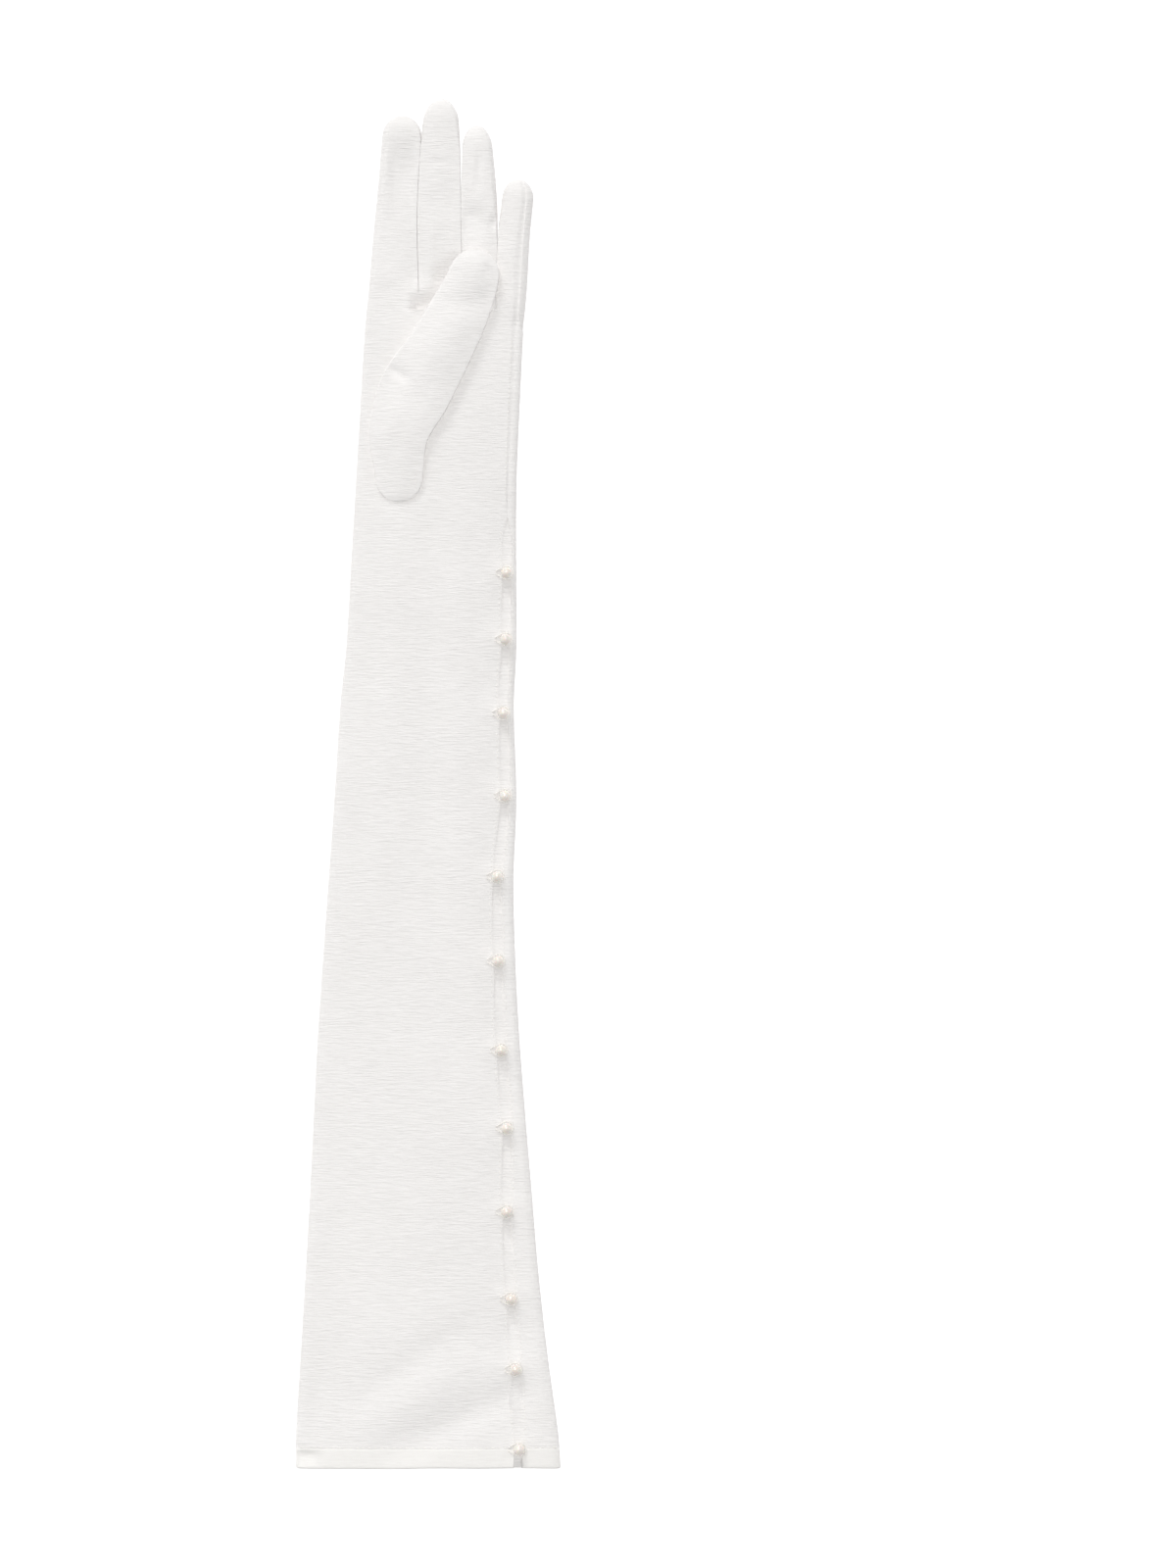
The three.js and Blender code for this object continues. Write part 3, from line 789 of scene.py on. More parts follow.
@dataclass(frozen=True)
class PearlFinish:
    """Cream pearl with a soft lustre and a clear skin; its colour carries a painted reflection, darker where
    it faces the camera and lighter towards its rim.
    """

    name: str = "cream_pearl"
    light: Triple = (0.87, 0.825, 0.77)
    deep: Triple = (0.77, 0.71, 0.65)
    layers_per_metre: Triple = (260.0, 260.0, 420.0)
    painted_reflection_blend: float = 0.35
    tone_range: tuple[float, float] = (0.22, 0.52)
    pits_per_metre: Triple = (1500.0, 1500.0, 1500.0)
    pit_depth: float = 0.00002
    roughness: float = 0.24
    coat: float = 0.9
    glow_depth: float = 0.0015

    def material(self) -> bpy.types.Material:
        """Makes the material.

        Returns:
            Layered cream with a painted dark reflection in its middle, a clear coat and faint pits.
        """
        board = NodeBoard(self.name)
        layers = board.noise(self.layers_per_metre, 3.0, 0.55)
        # Painted reflection: the facing weight darkens the colour where the pearl faces the camera and
        # lightens it towards its rim.
        painted_reflection = board.node("ShaderNodeLayerWeight", {"Blend": self.painted_reflection_blend}).outputs["Facing"]
        tone = board.sum([(layers, 0.5), (painted_reflection, 0.5)])
        colour = board.ramp(tone, list(zip(self.tone_range, (self.deep, self.light))))
        pits = board.bump(board.noise(self.pits_per_metre, 2.0, 0.5), self.pit_depth)
        shader = board.node("ShaderNodeBsdfPrincipled", {
            "Base Color": colour, "Roughness": self.roughness, "Normal": pits, "Specular IOR Level": 0.6,
            "Coat Weight": self.coat, "Coat Roughness": 0.06, "Subsurface Weight": 0.12,
            "Subsurface Scale": self.glow_depth,
        })
        return board.finish(shader.outputs["BSDF"])


@dataclass(frozen=True)
class ThreadFinish:
    """Cream sewing thread of twisted plies; its grooves carry painted shade."""

    name: str = "cream_thread"
    light: Triple = (0.88, 0.862, 0.83)
    deep: Triple = (0.81, 0.79, 0.755)
    twist_per_metre: Triple = (5200.0, 5200.0, 2600.0)
    fibres_per_metre: float = 2600.0
    fibre_depth: float = 0.00004
    tone_range: tuple[float, float] = (0.15, 0.7)
    roughness: float = 0.6
    sheen: float = 0.15

    def material(self) -> bpy.types.Material:
        """Makes the material.

        Returns:
            Twisted fibres, painted darker in their grooves as shade, with a little sheen.
        """
        board = NodeBoard(self.name)
        twist = board.noise(self.twist_per_metre, 2.0, 0.6)
        fibres = board.waves("DIAGONAL", self.fibres_per_metre, 2.0)
        tone = board.sum([(twist, 0.5), (fibres, 0.5)])
        # Painted shade: the same texture makes the bump and darkens the colour where the bump is low.
        colour = board.ramp(tone, list(zip(self.tone_range, (self.deep, self.light))))
        shader = board.node("ShaderNodeBsdfPrincipled", {
            "Base Color": colour, "Roughness": self.roughness, "Normal": board.bump(tone, self.fibre_depth),
            "Sheen Weight": self.sheen, "Sheen Roughness": 0.4,
        })
        return board.finish(shader.outputs["BSDF"])


@dataclass(frozen=True)
class Finishes:
    """One material of each kind, shared by the pieces."""

    tulle: bpy.types.Material
    doubled: bpy.types.Material
    pearl: bpy.types.Material
    thread: bpy.types.Material

    @classmethod
    def make(cls) -> "Finishes":
        """Makes the materials."""
        doubled = TulleFinish("doubled_tulle", (0.875, 0.86, 0.836), (0.83, 0.814, 0.79), rib_depth=0.00014)
        finishes = (TulleFinish(), doubled, PearlFinish(), ThreadFinish())
        return cls(*(finish.material() for finish in finishes))


def dress(piece: bpy.types.Object, material: bpy.types.Material,
          replaced: Sequence[str] = ()) -> None:
    """Gives a piece its material and its place among the part's nodes.

    Args:
        piece: The piece.
        material: Its finish.
        replaced: Nodes that it stands for.
    """
    piece.data.materials.clear()
    piece.data.materials.append(material)
    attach(piece, BODY)
    if replaced:
        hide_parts(*replaced)
    log.info("%s: %d faces", piece.name, len(piece.data.polygons))


@dataclass
class Trank:
    """The main cloth of the glove, from the hem to the fingertips, with the three gussets."""

    form: GloveForm
    placing: Placing
    cloth: float = 0.5
    wall_steps: int = 8
    wall_turn: float = 45.0
    slit_left: int = 64
    slit_right: int = 66
    seam_half: float = 0.35
    seam_widening: float = 0.5
    seam_run: tuple[float, float] = (4.0, 60.0)
    strip_least: float = 0.5
    column_gathering: float = 1.2
    spread_run: tuple[float, float] = (300.0, 500.0)
    palm_start: float = 452.0
    arm_rows: int = 236
    palm_rows: int = 40
    root_passes: int = 3
    web_depth: float = 1.2
    finger_spacing: float = 1.35
    tip_length: float = 9.0
    tip_turns: tuple[float, ...] = (14.0, 27.0, 39.0, 50.0, 60.0, 69.0, 77.0, 84.0)
    tip_power: float = 0.8
    slot_gap: float = 0.01
    shoulder_turn: float = 80.0
    lip_rows: tuple[float, ...] = (0.8605, 0.8645, 0.8685, 0.8725)
    tuck: float = 1.1
    tuck_reach: float = 2.2
    ease: float = 9.0
    gathering: float = 0.75
    crown_run: float = 30.0
    crown_power: float = 1.5
    fold_taper: float = 1.5
    seam_groove: float = 0.45
    groove_run: tuple[float, float] = (-2.0, 8.0)
    least_round: float = 0.08
    seam_step: tuple[float, ...] = (0.1, 1.0, 1.0, 0.85, 0.7, 0.55, 0.4, 0.2)
    gusset_columns: int = 4
    gusset_reach: Triple = (0.68, 0.6, 0.3)
    gusset_share: float = 0.1
    gusset_start: float = 4.0
    gusset_fade: float = 12.0
    hole: ThumbHole = ThumbHole(length=42.0, width=13.0)
    fingers: tuple[Finger, ...] = (
        Finger(
            name="index", length=78.5, crotch=0.384, top_columns=20, back_columns=6,
            along=(0.0, 0.3, 0.5, 0.82),
            left=(0.0, 0.031, 0.056, 0.09),
            right=(0.322, 0.311, 0.314, 0.338),
            left_round=((0.0, 3.2), (1.0, 3.2)),
            right_round=((0.0, 0.1), (0.3, 0.14), (0.76, 0.1), (0.86, 1.3)),
        ),
        Finger(
            name="middle", length=86.0, crotch=0.384, top_columns=16, back_columns=4,
            along=(0.0, 0.3, 0.5, 0.82, 1.0),
            left=(0.322, 0.311, 0.314, 0.338, 0.366),
            right=(0.597, 0.591, 0.5875, 0.58, 0.56),
            left_round=((0.0, 0.1), (0.3, 0.14), (0.76, 0.1), (0.88, 1.9)),
            right_round=((0.0, 0.1), (0.7, 0.1), (0.82, 1.2), (0.9, 1.9)),
        ),
        Finger(
            name="ring", length=75.5, crotch=0.597, top_columns=16, back_columns=4,
            along=(0.0, 0.3, 0.5, 0.82),
            left=(0.597, 0.591, 0.5875, 0.6),
            right=(0.811, 0.82, 0.816, 0.78),
            left_round=((0.0, 0.1), (0.7, 0.1), (0.82, 1.4)),
            right_round=((0.0, 0.1), (0.3, 0.2), (0.5, 2.0), (0.82, 2.4)),
        ),
        Finger(
            name="little", length=58.5, crotch=0.811, top_columns=20, back_columns=6,
            along=(-0.2, 0.0, 0.3, 0.5),
            left=(0.811, 0.811, 0.822, 0.85),
            right=(0.978, 1.004, 1.026, 1.05),
            left_round=((-0.2, 0.1), (0.0, 0.1), (0.3, 0.3), (0.5, 2.2)),
            right_round=((0.0, 3.2), (1.0, 3.2)),
        ),
    )

    def __post_init__(self) -> None:
        """Counts the columns of the skin and reads the fingers' tables."""
        fingers = self.fingers
        self.top_starts = np.cumsum([0, *(finger.top_columns for finger in fingers)])
        self.back_starts = np.cumsum([0, *(finger.back_columns for finger in reversed(fingers))])
        self.top_columns = int(self.top_starts[-1])
        self.back_columns = int(self.back_starts[-1])
        self.crotch_columns = self.top_starts[1:-1]
        self.edges = [(TableCurve(f.along, f.left), TableCurve(f.along, f.right)) for f in fingers]
        self.rounds = [(TableCurve(*zip(*f.left_round)), TableCurve(*zip(*f.right_round))) for f in fingers]
        self.loft = Loft()

    def wall_turns(self) -> Array:
        """Turns of the points of a side wall, from its upper shoulder down to its lower one."""
        return np.radians(np.linspace(self.wall_turn, -self.wall_turn, self.wall_steps + 1))

    def shoulders(self, y: float) -> tuple[float, float]:
        """Places of the left and right shoulders of one row, where its side walls start."""
        inset = self.form.edge_radius * (1 - math.cos(math.radians(self.wall_turn)))
        return self.form.left(y) + inset, self.form.right(y) - inset

    def crotch_x(self) -> Array:
        """Places of the three crotches across the palm."""
        return self.form.palm_across(np.array([finger.left[0] for finger in self.fingers[1:]]))

    def top_places(self, y: float) -> Array:
        """Places of the upper columns across the glove at one row.

        Args:
            y: The row's distance from the cuff edge, on the index side.

        Returns:
            One place a column, from the left shoulder to the right one.
        """
        form = self.form
        left, right = self.shoulders(y)
        slit = form.slit_at(y)
        seam_start, seam_end = form.slit_length + np.array(self.seam_run)
        seam_half = self.seam_half + self.seam_widening * smooth(y, seam_start, seam_end)
        half = np.where(y < form.slit_length, np.maximum(form.slit_half(y), self.seam_half), seam_half)
        slit_right = min(slit + half, right - self.strip_least)
        slit_left = slit - half
        share = 1 - (1 - np.arange(self.slit_left + 1) / self.slit_left) ** self.column_gathering
        arm = mix(left, slit_left, share)
        stops = [0, *self.crotch_columns, self.slit_left]
        palm = np.interp(np.arange(self.slit_left + 1), stops, [left, *self.crotch_x(), slit_left])
        spread = mix(arm, palm, smooth(y, *self.spread_run))
        seam = np.linspace(slit_left, slit_right, self.slit_right - self.slit_left + 1)[1:]
        rest = np.linspace(slit_right, right, self.top_columns - self.slit_right + 1)[1:]
        return np.concatenate([spread, seam, rest])

    def back_places(self, y: float) -> Array:
        """Places of the lower columns, from the right shoulder to the left one."""
        left, right = self.shoulders(y)
        columns = np.arange(self.back_columns + 1)
        palm = np.interp(columns, self.back_starts, [right, *self.crotch_x()[::-1], left])
        arm = np.linspace(right, left, self.back_columns + 1)
        return mix(arm, palm, smooth(y, *self.spread_run))

    def ring(self, y: float, inset: float = 0.0, share: Optional[float] = None) -> Array:
        """Points of one row round the sleeve or palm.

        Args:
            y: The row's distance from the cuff edge, on the index side.
            inset: Distance inwards from the outer face.
            share: How far the row has turned from straight into the line of the finger roots.

        Returns:
            Rows of x, y, z, from the lower left shoulder up and round over the palm side.
        """
        form = self.form
        turns = self.wall_turns()
        radius = form.edge_radius
        wall = radius * (1 - np.cos(turns))
        left_wall = form.left(y) + wall[::-1]
        right_wall = form.right(y) - wall
        x = np.concatenate([left_wall, self.top_places(y)[1:-1], right_wall, self.back_places(y)[1:-1]])
        steps = self.wall_steps
        upper = np.zeros(len(x), bool)
        upper[steps // 2 : len(left_wall) + self.top_columns - 1 + steps // 2 + 1] = True
        places = np.full(len(x), float(y))
        if share is not None:
            across = (x - form.left(y)) / (form.right(y) - form.left(y))
            for _ in range(self.root_passes):
                places = mix(self.palm_start, form.root_line(x), share)
                x = mix(form.left(places), form.right(places), across)
        if inset:
            middle = form.middle(places)
            half = form.half(places)
            x = middle + (x - middle) * (half - inset) / half
        z = np.where(upper, form.top(x, places, inset), form.under(x, places, inset))
        return np.stack([x, places, z], axis=1)

    def mark_groove(self, ring: Array, y: float) -> Array:
        """Steps the cloth down at the side seam that carries the slit on towards the little finger."""
        start = self.wall_steps + self.slit_left
        low, high = self.form.slit_length + np.array(self.groove_run)
        depth = self.seam_groove * float(smooth(y, low, high))
        ring[start : start + len(self.seam_step), 2] -= depth * np.array(self.seam_step)
        return ring

    def tucked(self, ring: Array) -> Array:
        """Draws the palm's cloth a little way over the pocket at the foot of the index finger.

        Args:
            ring: Points of a row.

        Returns:
            The moved points.
        """
        pocket = self.form.hand_folds[0]
        away = ring[:, 1] - pocket.y
        beside = np.exp(-(((ring[:, 0] - pocket.x) / (pocket.length / 2)) ** 4))
        above = (ring[:, 2] > self.form.edge_radius) & (away < 0)
        ring[:, 1] += np.where(above, self.tuck * beside * np.exp(-((away / self.tuck_reach) ** 2)), 0.0)
        return ring

    def column_part(self, i: int, y: float, x: float) -> Optional[str]:
        """Piece that a face of the sleeve or palm belongs to.

        Args:
            i: Column of the face.
            y: Its distance from the cuff edge.
            x: Its place across the glove.

        Returns:
            The name of the trank, or None in the slit and in the thumb hole.
        """
        column = i - self.wall_steps
        if self.slit_left <= column < self.slit_right and y < self.form.slit_length:
            return None
        if 0 <= column < self.top_columns and self.hole.holds(x, y):
            return None
        return ClothPart.TRANK.value

    def arm(self) -> tuple[Array, Array]:
        """Lofts the sleeve and palm.

        Returns:
            The numbers and the points of the last row, along the finger roots.
        """
        form = self.form
        rings = [self.ring(y) for y in np.linspace(form.hem_height, self.palm_start, self.arm_rows)]
        for share in sorted([*np.linspace(0, 1, self.palm_rows + 1)[1:], *self.lip_rows]):
            rings.append(self.ring(mix(self.palm_start, form.sleeve_length, share), share=share))
        rings = [self.tucked(self.mark_groove(ring, float(ring[0, 1]))) for ring in rings]
        rows = [self.loft.add(ring) for ring in rings]
        for j in range(len(rows) - 1):
            centre = face_centres(rings[j], rings[j + 1])
            self.loft.skin(rows[j], rows[j + 1],
                           lambda i, c=centre: self.column_part(i, float(c[i, 1]), float(c[i, 0])))
        return rows[-1], rings[-1]

    def webs(self, row: Array, points: Array) -> list[tuple[Array, Array]]:
        """Adds the short walls between the fingers at their crotches.

        Args:
            row: Numbers of the row along the finger roots.
            points: Its points.

        Returns:
            For each crotch, the numbers and points from its upper to its lower end.
        """
        made = []
        for column, back in zip(self.crotch_columns, self.back_starts[-2:0:-1]):
            high = self.wall_steps + column
            low = 2 * self.wall_steps + self.top_columns + back
            shares = np.linspace(0, 1, self.wall_steps + 1)[:, None]
            wall = mix(points[high], points[low], shares)
            wall[:, 1] -= self.web_depth * np.sin(np.pi * shares[:, 0])
            inner = self.loft.add(wall[1:-1])
            made.append((np.concatenate([[row[high]], inner, [row[low]]]), wall))
        return made

    def finger_root(self, k: int, row: Array, points: Array,
                    webs: list[tuple[Array, Array]]) -> tuple[Array, Array]:
        """Gathers the ring that a finger grows from.

        Args:
            k: Number of the finger.
            row: Numbers of the row along the finger roots.
            points: Its points.
            webs: Walls at the crotches.

        Returns:
            The numbers and points of the ring.
        """
        steps = self.wall_steps
        left_numbers, left_points = row[: steps + 1], points[: steps + 1]
        if k > 0:
            left_numbers, left_points = webs[k - 1][0][::-1], webs[k - 1][1][::-1]
        high = steps + self.top_columns
        right_numbers, right_points = row[high : high + steps + 1], points[high : high + steps + 1]
        if k < 3:
            right_numbers, right_points = webs[k]
        top = slice(steps + self.top_starts[k] + 1, steps + self.top_starts[k + 1])
        low = 2 * steps + self.top_columns
        under = slice(low + self.back_starts[3 - k] + 1, low + self.back_starts[4 - k])
        numbers = np.concatenate([left_numbers, row[top], right_numbers, row[under]])
        gathered = np.concatenate([left_points, points[top], right_points, points[under]])
        return numbers, gathered

    def finger(self, k: int, numbers: Array, root: Array) -> None:
        """Lofts one finger from its root ring to its tip.

        Args:
            k: Number of the finger.
            numbers: Numbers of its root ring.
            root: Points of that ring.
        """
        form = self.form
        finger = self.fingers[k]
        steps = self.wall_steps
        crotch_y = float(form.root_line(form.palm_across(finger.crotch)))
        tip_start = crotch_y + finger.length - self.tip_length
        shaft = tip_start - float(root[:, 1].min())
        count = int(shaft / self.finger_spacing)
        top = slice(steps, steps + finger.top_columns + 1)
        shares = (root[:, 0] - root[steps, 0]) / (root[steps + finger.top_columns, 0] - root[steps, 0])
        stations = [(j / count, 0.0) for j in range(1, count + 1)]
        stations += [(1.0, turn) for turn in np.radians(self.tip_turns)]
        gusset_end = form.middle_length * self.gusset_reach[k - 1] if k else 0.0
        next_gusset = form.middle_length * self.gusset_reach[k] if k < 3 else 0.0
        previous = numbers
        for share, turn in stations:
            ring, along = self.finger_ring(k, root, shares, share, turn, tip_start, gusset_end)
            current = self.loft.add(ring)
            self.loft.skin(previous, current,
                           lambda i, a=along: self.finger_part(k, i, a, gusset_end, next_gusset))
            previous = current
        tip = ring[top].mean(axis=0) * 0.5 + ring.mean(axis=0) * 0.5
        tip[1] = tip_start + self.tip_length
        pole = self.loft.add(tip[None])
        for i in range(len(previous)):
            self.loft.face((previous[i], previous[(i + 1) % len(previous)], pole[0]), ClothPart.TRANK.value)
        log.info("%s finger: %d rings", finger.name, len(stations))

    def finger_part(self, k: int, i: int, along: float, gusset_end: float, next_gusset: float) -> str:
        """Piece that a face of a finger belongs to.

        Args:
            k: Number of the finger.
            i: Column of the face.
            along: Its distance beyond the crotch.
            gusset_end: Reach of the gusset on its index side.
            next_gusset: Reach of the gusset on its little-finger side.

        Returns:
            The name of the piece.
        """
        steps = self.wall_steps
        high = steps + self.fingers[k].top_columns
        if k > 0 and i < steps + self.gusset_columns and along < gusset_end:
            return GUSSETS[k - 1].value
        if k < 3 and high <= i < high + steps and along < next_gusset:
            return GUSSETS[k].value
        return ClothPart.TRANK.value

    def gathered(self, k: int, shares: Array, along: float, gusset_end: float) -> Array:
        """Draws the gusset's columns together, and gathers the others towards the walls.

        Args:
            k: Number of the finger.
            shares: Places of a ring's points across the finger, 0 to 1 between its shoulders.
            along: The ring's distance beyond its root.
            gusset_end: Reach of the gusset on its index side.

        Returns:
            The moved places.
        """
        if k > 0:
            top = slice(self.wall_steps, self.wall_steps + self.fingers[k].top_columns + 1)
            wide = shares[self.wall_steps + self.gusset_columns]
            inside = smooth(along, self.gusset_start, gusset_end)
            inside = inside * (1 - smooth(along, gusset_end, gusset_end + self.gusset_fade))
            shares = shares.copy()
            shares[top] = np.interp(shares[top], [0, wide, 1], [0, mix(wide, self.gusset_share, inside), 1])
        drawn = shares - self.gathering * np.sin(2 * math.pi * shares) / (2 * math.pi)
        return np.where((shares > 0.5) | (k == 0), drawn, shares)

    def offsets(self, k: int, shares: Array, half: Array, rounds: tuple[float, float]) -> Array:
        """Distances of a ring's points from the middle of the finger.

        Args:
            k: Number of the finger.
            shares: Places of the points across the finger, 0 to 1 between its shoulders.
            half: Half the finger's width at each point.
            rounds: Rounding of its left and right edges.

        Returns:
            One distance a point, below 0 towards the index side.
        """
        steps = self.wall_steps
        high = steps + self.fingers[k].top_columns
        left_round, right_round = rounds
        turns = self.wall_turns() * self.shoulder_turn / self.wall_turn
        corner = math.cos(turns[0])
        left_shoulder = -(half - left_round + left_round * corner)
        right_shoulder = half - right_round + right_round * corner
        offset = mix(left_shoulder, right_shoulder, np.clip(shares, 0, 1))
        left_wall = slice(0, steps + 1)
        right_wall = slice(high, high + steps + 1)
        offset[left_wall] = -(half[left_wall] - left_round + left_round * np.cos(turns[::-1]))
        offset[right_wall] = half[right_wall] - right_round + right_round * np.cos(turns)
        return offset

    def fold_shares(self, k: int, size: int) -> Array:
        """How much of the folds each point of a finger's ring takes.

        Args:
            k: Number of the finger.
            size: Number of points of the ring.

        Returns:
            1 above, 0 below, and shares between them down the walls.
        """
        steps = self.wall_steps
        high = steps + self.fingers[k].top_columns
        shares = np.zeros(size)
        shares[: steps + 1] = np.linspace(0, 1, steps + 1)
        shares[steps : high + 1] = 1
        shares[high : high + steps + 1] = np.linspace(1, 0, steps + 1)
        return shares

    def finger_ring(self, k: int, root: Array, shares: Array, share: float, turn: float, tip_start: float,
                    gusset_end: float) -> tuple[Array, float]:
        """Points of one ring of a finger.

        Args:
            k: Number of the finger.
            root: Points of its root ring.
            shares: Places of the root points across the finger, 0 to 1 between its shoulders.
            share: How far along the shaft the ring is.
            turn: How far the ring has turned into the rounded tip.
            tip_start: Distance of the tip's start from the cuff edge.
            gusset_end: Reach of the gusset on its index side.

        Returns:
            Rows of x, y, z, and the ring's distance beyond its root.
        """
        form = self.form
        steps = self.wall_steps
        high = steps + self.fingers[k].top_columns
        radius = form.finger_radius
        taper = math.cos(turn)
        tip = self.tip_length * math.sin(turn)
        along = float(share * (tip_start - root[:, 1].mean()) + tip)
        y = mix(root[:, 1], tip_start, share) + tip
        at = (y - form.sleeve_length) / form.middle_length
        left, right = (form.palm_across(edge(at)) for edge in self.edges[k])
        half = ((right - left) / 2 - self.slot_gap) * taper
        rounds = tuple(max(float(curve(at.mean())), self.least_round) * taper for curve in self.rounds[k])
        offset = self.offsets(k, self.gathered(k, shares, along, gusset_end), half, rounds)
        rounding = np.where(offset < 0, *rounds)
        past = np.clip((np.abs(offset) - (half - rounding)) / rounding, 0, 1)
        rise = radius * taper**self.tip_power * np.sqrt(np.maximum(1 - past**2, 0))
        root_crown = float(root[steps:high, 2].max()) - 2 * radius
        crown = mix(root_crown, form.finger_crown, float(smooth(along, 0, self.crown_run))) * taper
        outward = np.clip(np.abs(offset) / half, 0, 1)
        lift = crown * (1 - outward**2) ** self.crown_power
        upper = np.zeros(len(offset), bool)
        upper[steps // 2 : high + steps // 2 + 1] = True
        tube_z = radius + np.where(upper, rise + lift, -rise)
        taken = self.fold_shares(k, len(offset))
        root_z = root[:, 2] - relief(form.hand_folds, root[:, 0], root[:, 1]) * taken
        blend = float(smooth(along, 0.0, self.ease))
        plain_x = left + (root[:, 0] - root[:, 0].min()) / np.ptp(root[:, 0]) * (right - left)
        x = mix(plain_x, (left + right) / 2 + offset, blend)
        fade = mix(1.0, 1 - outward**6, blend) * min(1.0, taper * self.fold_taper)
        soft = relief(form.hand_folds, x, y) * taken * fade
        ring = np.stack([x, y, np.maximum(mix(root_z, tube_z, blend) + soft, 0.0)], axis=1)
        if k == 3:
            seam = steps + self.slit_left - int(self.crotch_columns[2])
            ring[seam : seam + len(self.seam_step), 2] -= self.seam_groove * taper * np.array(self.seam_step)
        return ring, along

    def make(self, finishes: Finishes) -> list[bpy.types.Object]:
        """Builds the trank and its gussets and dresses them.

        Args:
            finishes: The materials.

        Returns:
            The trank and the three gussets.
        """
        row, points = self.arm()
        webs = self.webs(row, points)
        for k in range(len(self.fingers)):
            self.finger(k, *self.finger_root(k, row, points, webs))
        pieces = []
        for part in ClothPart:
            piece = self.loft.build(f"{part.value}_cloth", self.placing, part.value, self.cloth)
            dress(piece, finishes.tulle, [part.value])
            pieces.append(piece)
        return pieces


@dataclass
class Thumb:
    """The thumb's tube of cloth, folded over the palm, open below over the thumb hole."""

    form: GloveForm
    placing: Placing
    reach: float = 110.6
    width: float = 31.7
    base: float = 423.0
    radius: float = 1.8
    gap: float = 0.3
    end_length: float = 10.0
    sewn_height: float = 0.65
    sewn_round: float = 0.35
    free_round: float = 1.6
    lower_round: float = 1.4
    cloth: float = 0.5
    shaft_rows: int = 72
    end_rows: int = 9
    wall_steps: int = 8
    top_steps: int = 22
    back_steps: int = 14
    wall_turn: float = 75.0
    end_turns: tuple[float, float] = (84.0, 8.0)
    round_run: tuple[float, float] = (0.4, 0.6)
    sewn_run: tuple[float, float] = (0.38, 0.6)
    free_run: tuple[float, float] = (-0.04, 0.3)
    across_run: tuple[float, float] = (-0.9, 0.5)
    probe: float = 0.02
    hole: ThumbHole = ThumbHole(length=40.0, width=11.5)
    # Share of the thumb's reach, its middle as a share of the palm's width, and its width's share.
    rows: tuple[Triple, ...] = (
        (0.0, 0.2, 0.62), (0.124, 0.196, 0.68), (0.279, 0.2, 0.84), (0.434, 0.296, 1.0),
        (0.589, 0.44, 0.92), (0.744, 0.572, 0.83), (0.88, 0.664, 0.72), (1.0, 0.69, 0.62),
    )
    # Share of the thumb's reach, and the rise of its middle there.
    crowns: tuple[tuple[float, float], ...] = ((0.0, 0.5), (0.15, 1.1), (0.35, 2.5), (0.6, 2.4), (1.0, 2.0))
    folds: tuple[Fold, ...] = (
        Fold(-14.5, 479.5, -37.0, 12.5, 2.6, -1.6, 1.0),
        Fold(27.5, 523.0, -48.0, 8.0, 1.5, -1.0),
        Fold(18.5, 510.0, 8.0, 24.0, 6.0, -1.1),
        Fold(-6.0, 462.0, 62.0, 44.0, 5.0, -0.6),
    )

    def __post_init__(self) -> None:
        """Reads the table of the thumb."""
        along, across, width = zip(*self.rows)
        self._across = TableCurve(along, across)
        self._width = TableCurve(along, width)
        self._crown = TableCurve(*zip(*self.crowns))

    def axis(self, share: float) -> Array:
        """Middle of the thumb in plan, at a share of its reach."""
        return np.array([float(self.form.palm_across(self._across(share))), self.base + share * self.reach])

    def ring(self, share: float, taper: float) -> Array:
        """Points of one ring across the thumb.

        Args:
            share: How far along its reach the ring is.
            taper: Share of its full size, smaller in the rounded ends.

        Returns:
            Rows of x, y, z.
        """
        centre = self.axis(share)
        heading = self.axis(share + self.probe) - self.axis(share - self.probe)
        heading /= np.linalg.norm(heading)
        aside = np.array([heading[1], -heading[0]])
        half = float(self._width(share)) * self.width / 2 * taper
        left_round = mix(self.sewn_round, self.free_round, float(smooth(share, *self.round_run))) * taper
        right_round = self.sewn_round * taper
        lower_round = self.lower_round * taper
        crown = float(self._crown(share)) * taper
        turns = np.radians(np.linspace(-self.wall_turn, self.wall_turn, self.wall_steps + 1))
        left_rounds = np.where(turns < 0, lower_round, left_round)
        right_rounds = np.where(turns > 0, lower_round, right_round)
        left = -(half - left_rounds + left_rounds * np.cos(turns))
        right = half - right_rounds + right_rounds * np.cos(turns)
        top = np.linspace(left[-1], right[0], self.top_steps + 1)[1:-1]
        under = np.linspace(right[-1], left[0], self.back_steps + 1)[1:-1]
        offset = np.concatenate([left, top, right, under])
        round_edge = np.concatenate([left_rounds, np.where(top < 0, left_round, right_round), right_rounds,
                                     np.full(len(under), lower_round)])
        upper = np.zeros(len(offset), bool)
        upper[self.wall_steps // 2 : self.wall_steps + self.top_steps + self.wall_steps // 2 + 1] = True
        sewn = mix(self.sewn_height, self.radius, float(smooth(share, *self.sewn_run)))
        free = mix(self.sewn_height, self.radius, float(smooth(share, *self.free_run)))
        tall = mix(sewn, free, smooth(offset / half, *self.across_run)) * taper**0.5
        past = np.clip((np.abs(offset) - (half - round_edge)) / round_edge, 0, 1)
        rise = tall * np.sqrt(np.maximum(1 - past**2, 0))
        lift = crown * np.clip(1 - (offset / half) ** 2, 0, 1) ** 1.5
        x = centre[0] + aside[0] * offset
        y = centre[1] + aside[1] * offset
        rest = self.form.plain_top(x, np.minimum(y, self.form.sleeve_length)) + self.gap
        soft = relief(self.folds, x, y) * (1 - np.clip(np.abs(offset) / half, 0, 1) ** 4) * taper
        z = rest + tall + np.where(upper, rise + lift + soft, -rise)
        return np.stack([x, y, z], axis=1)

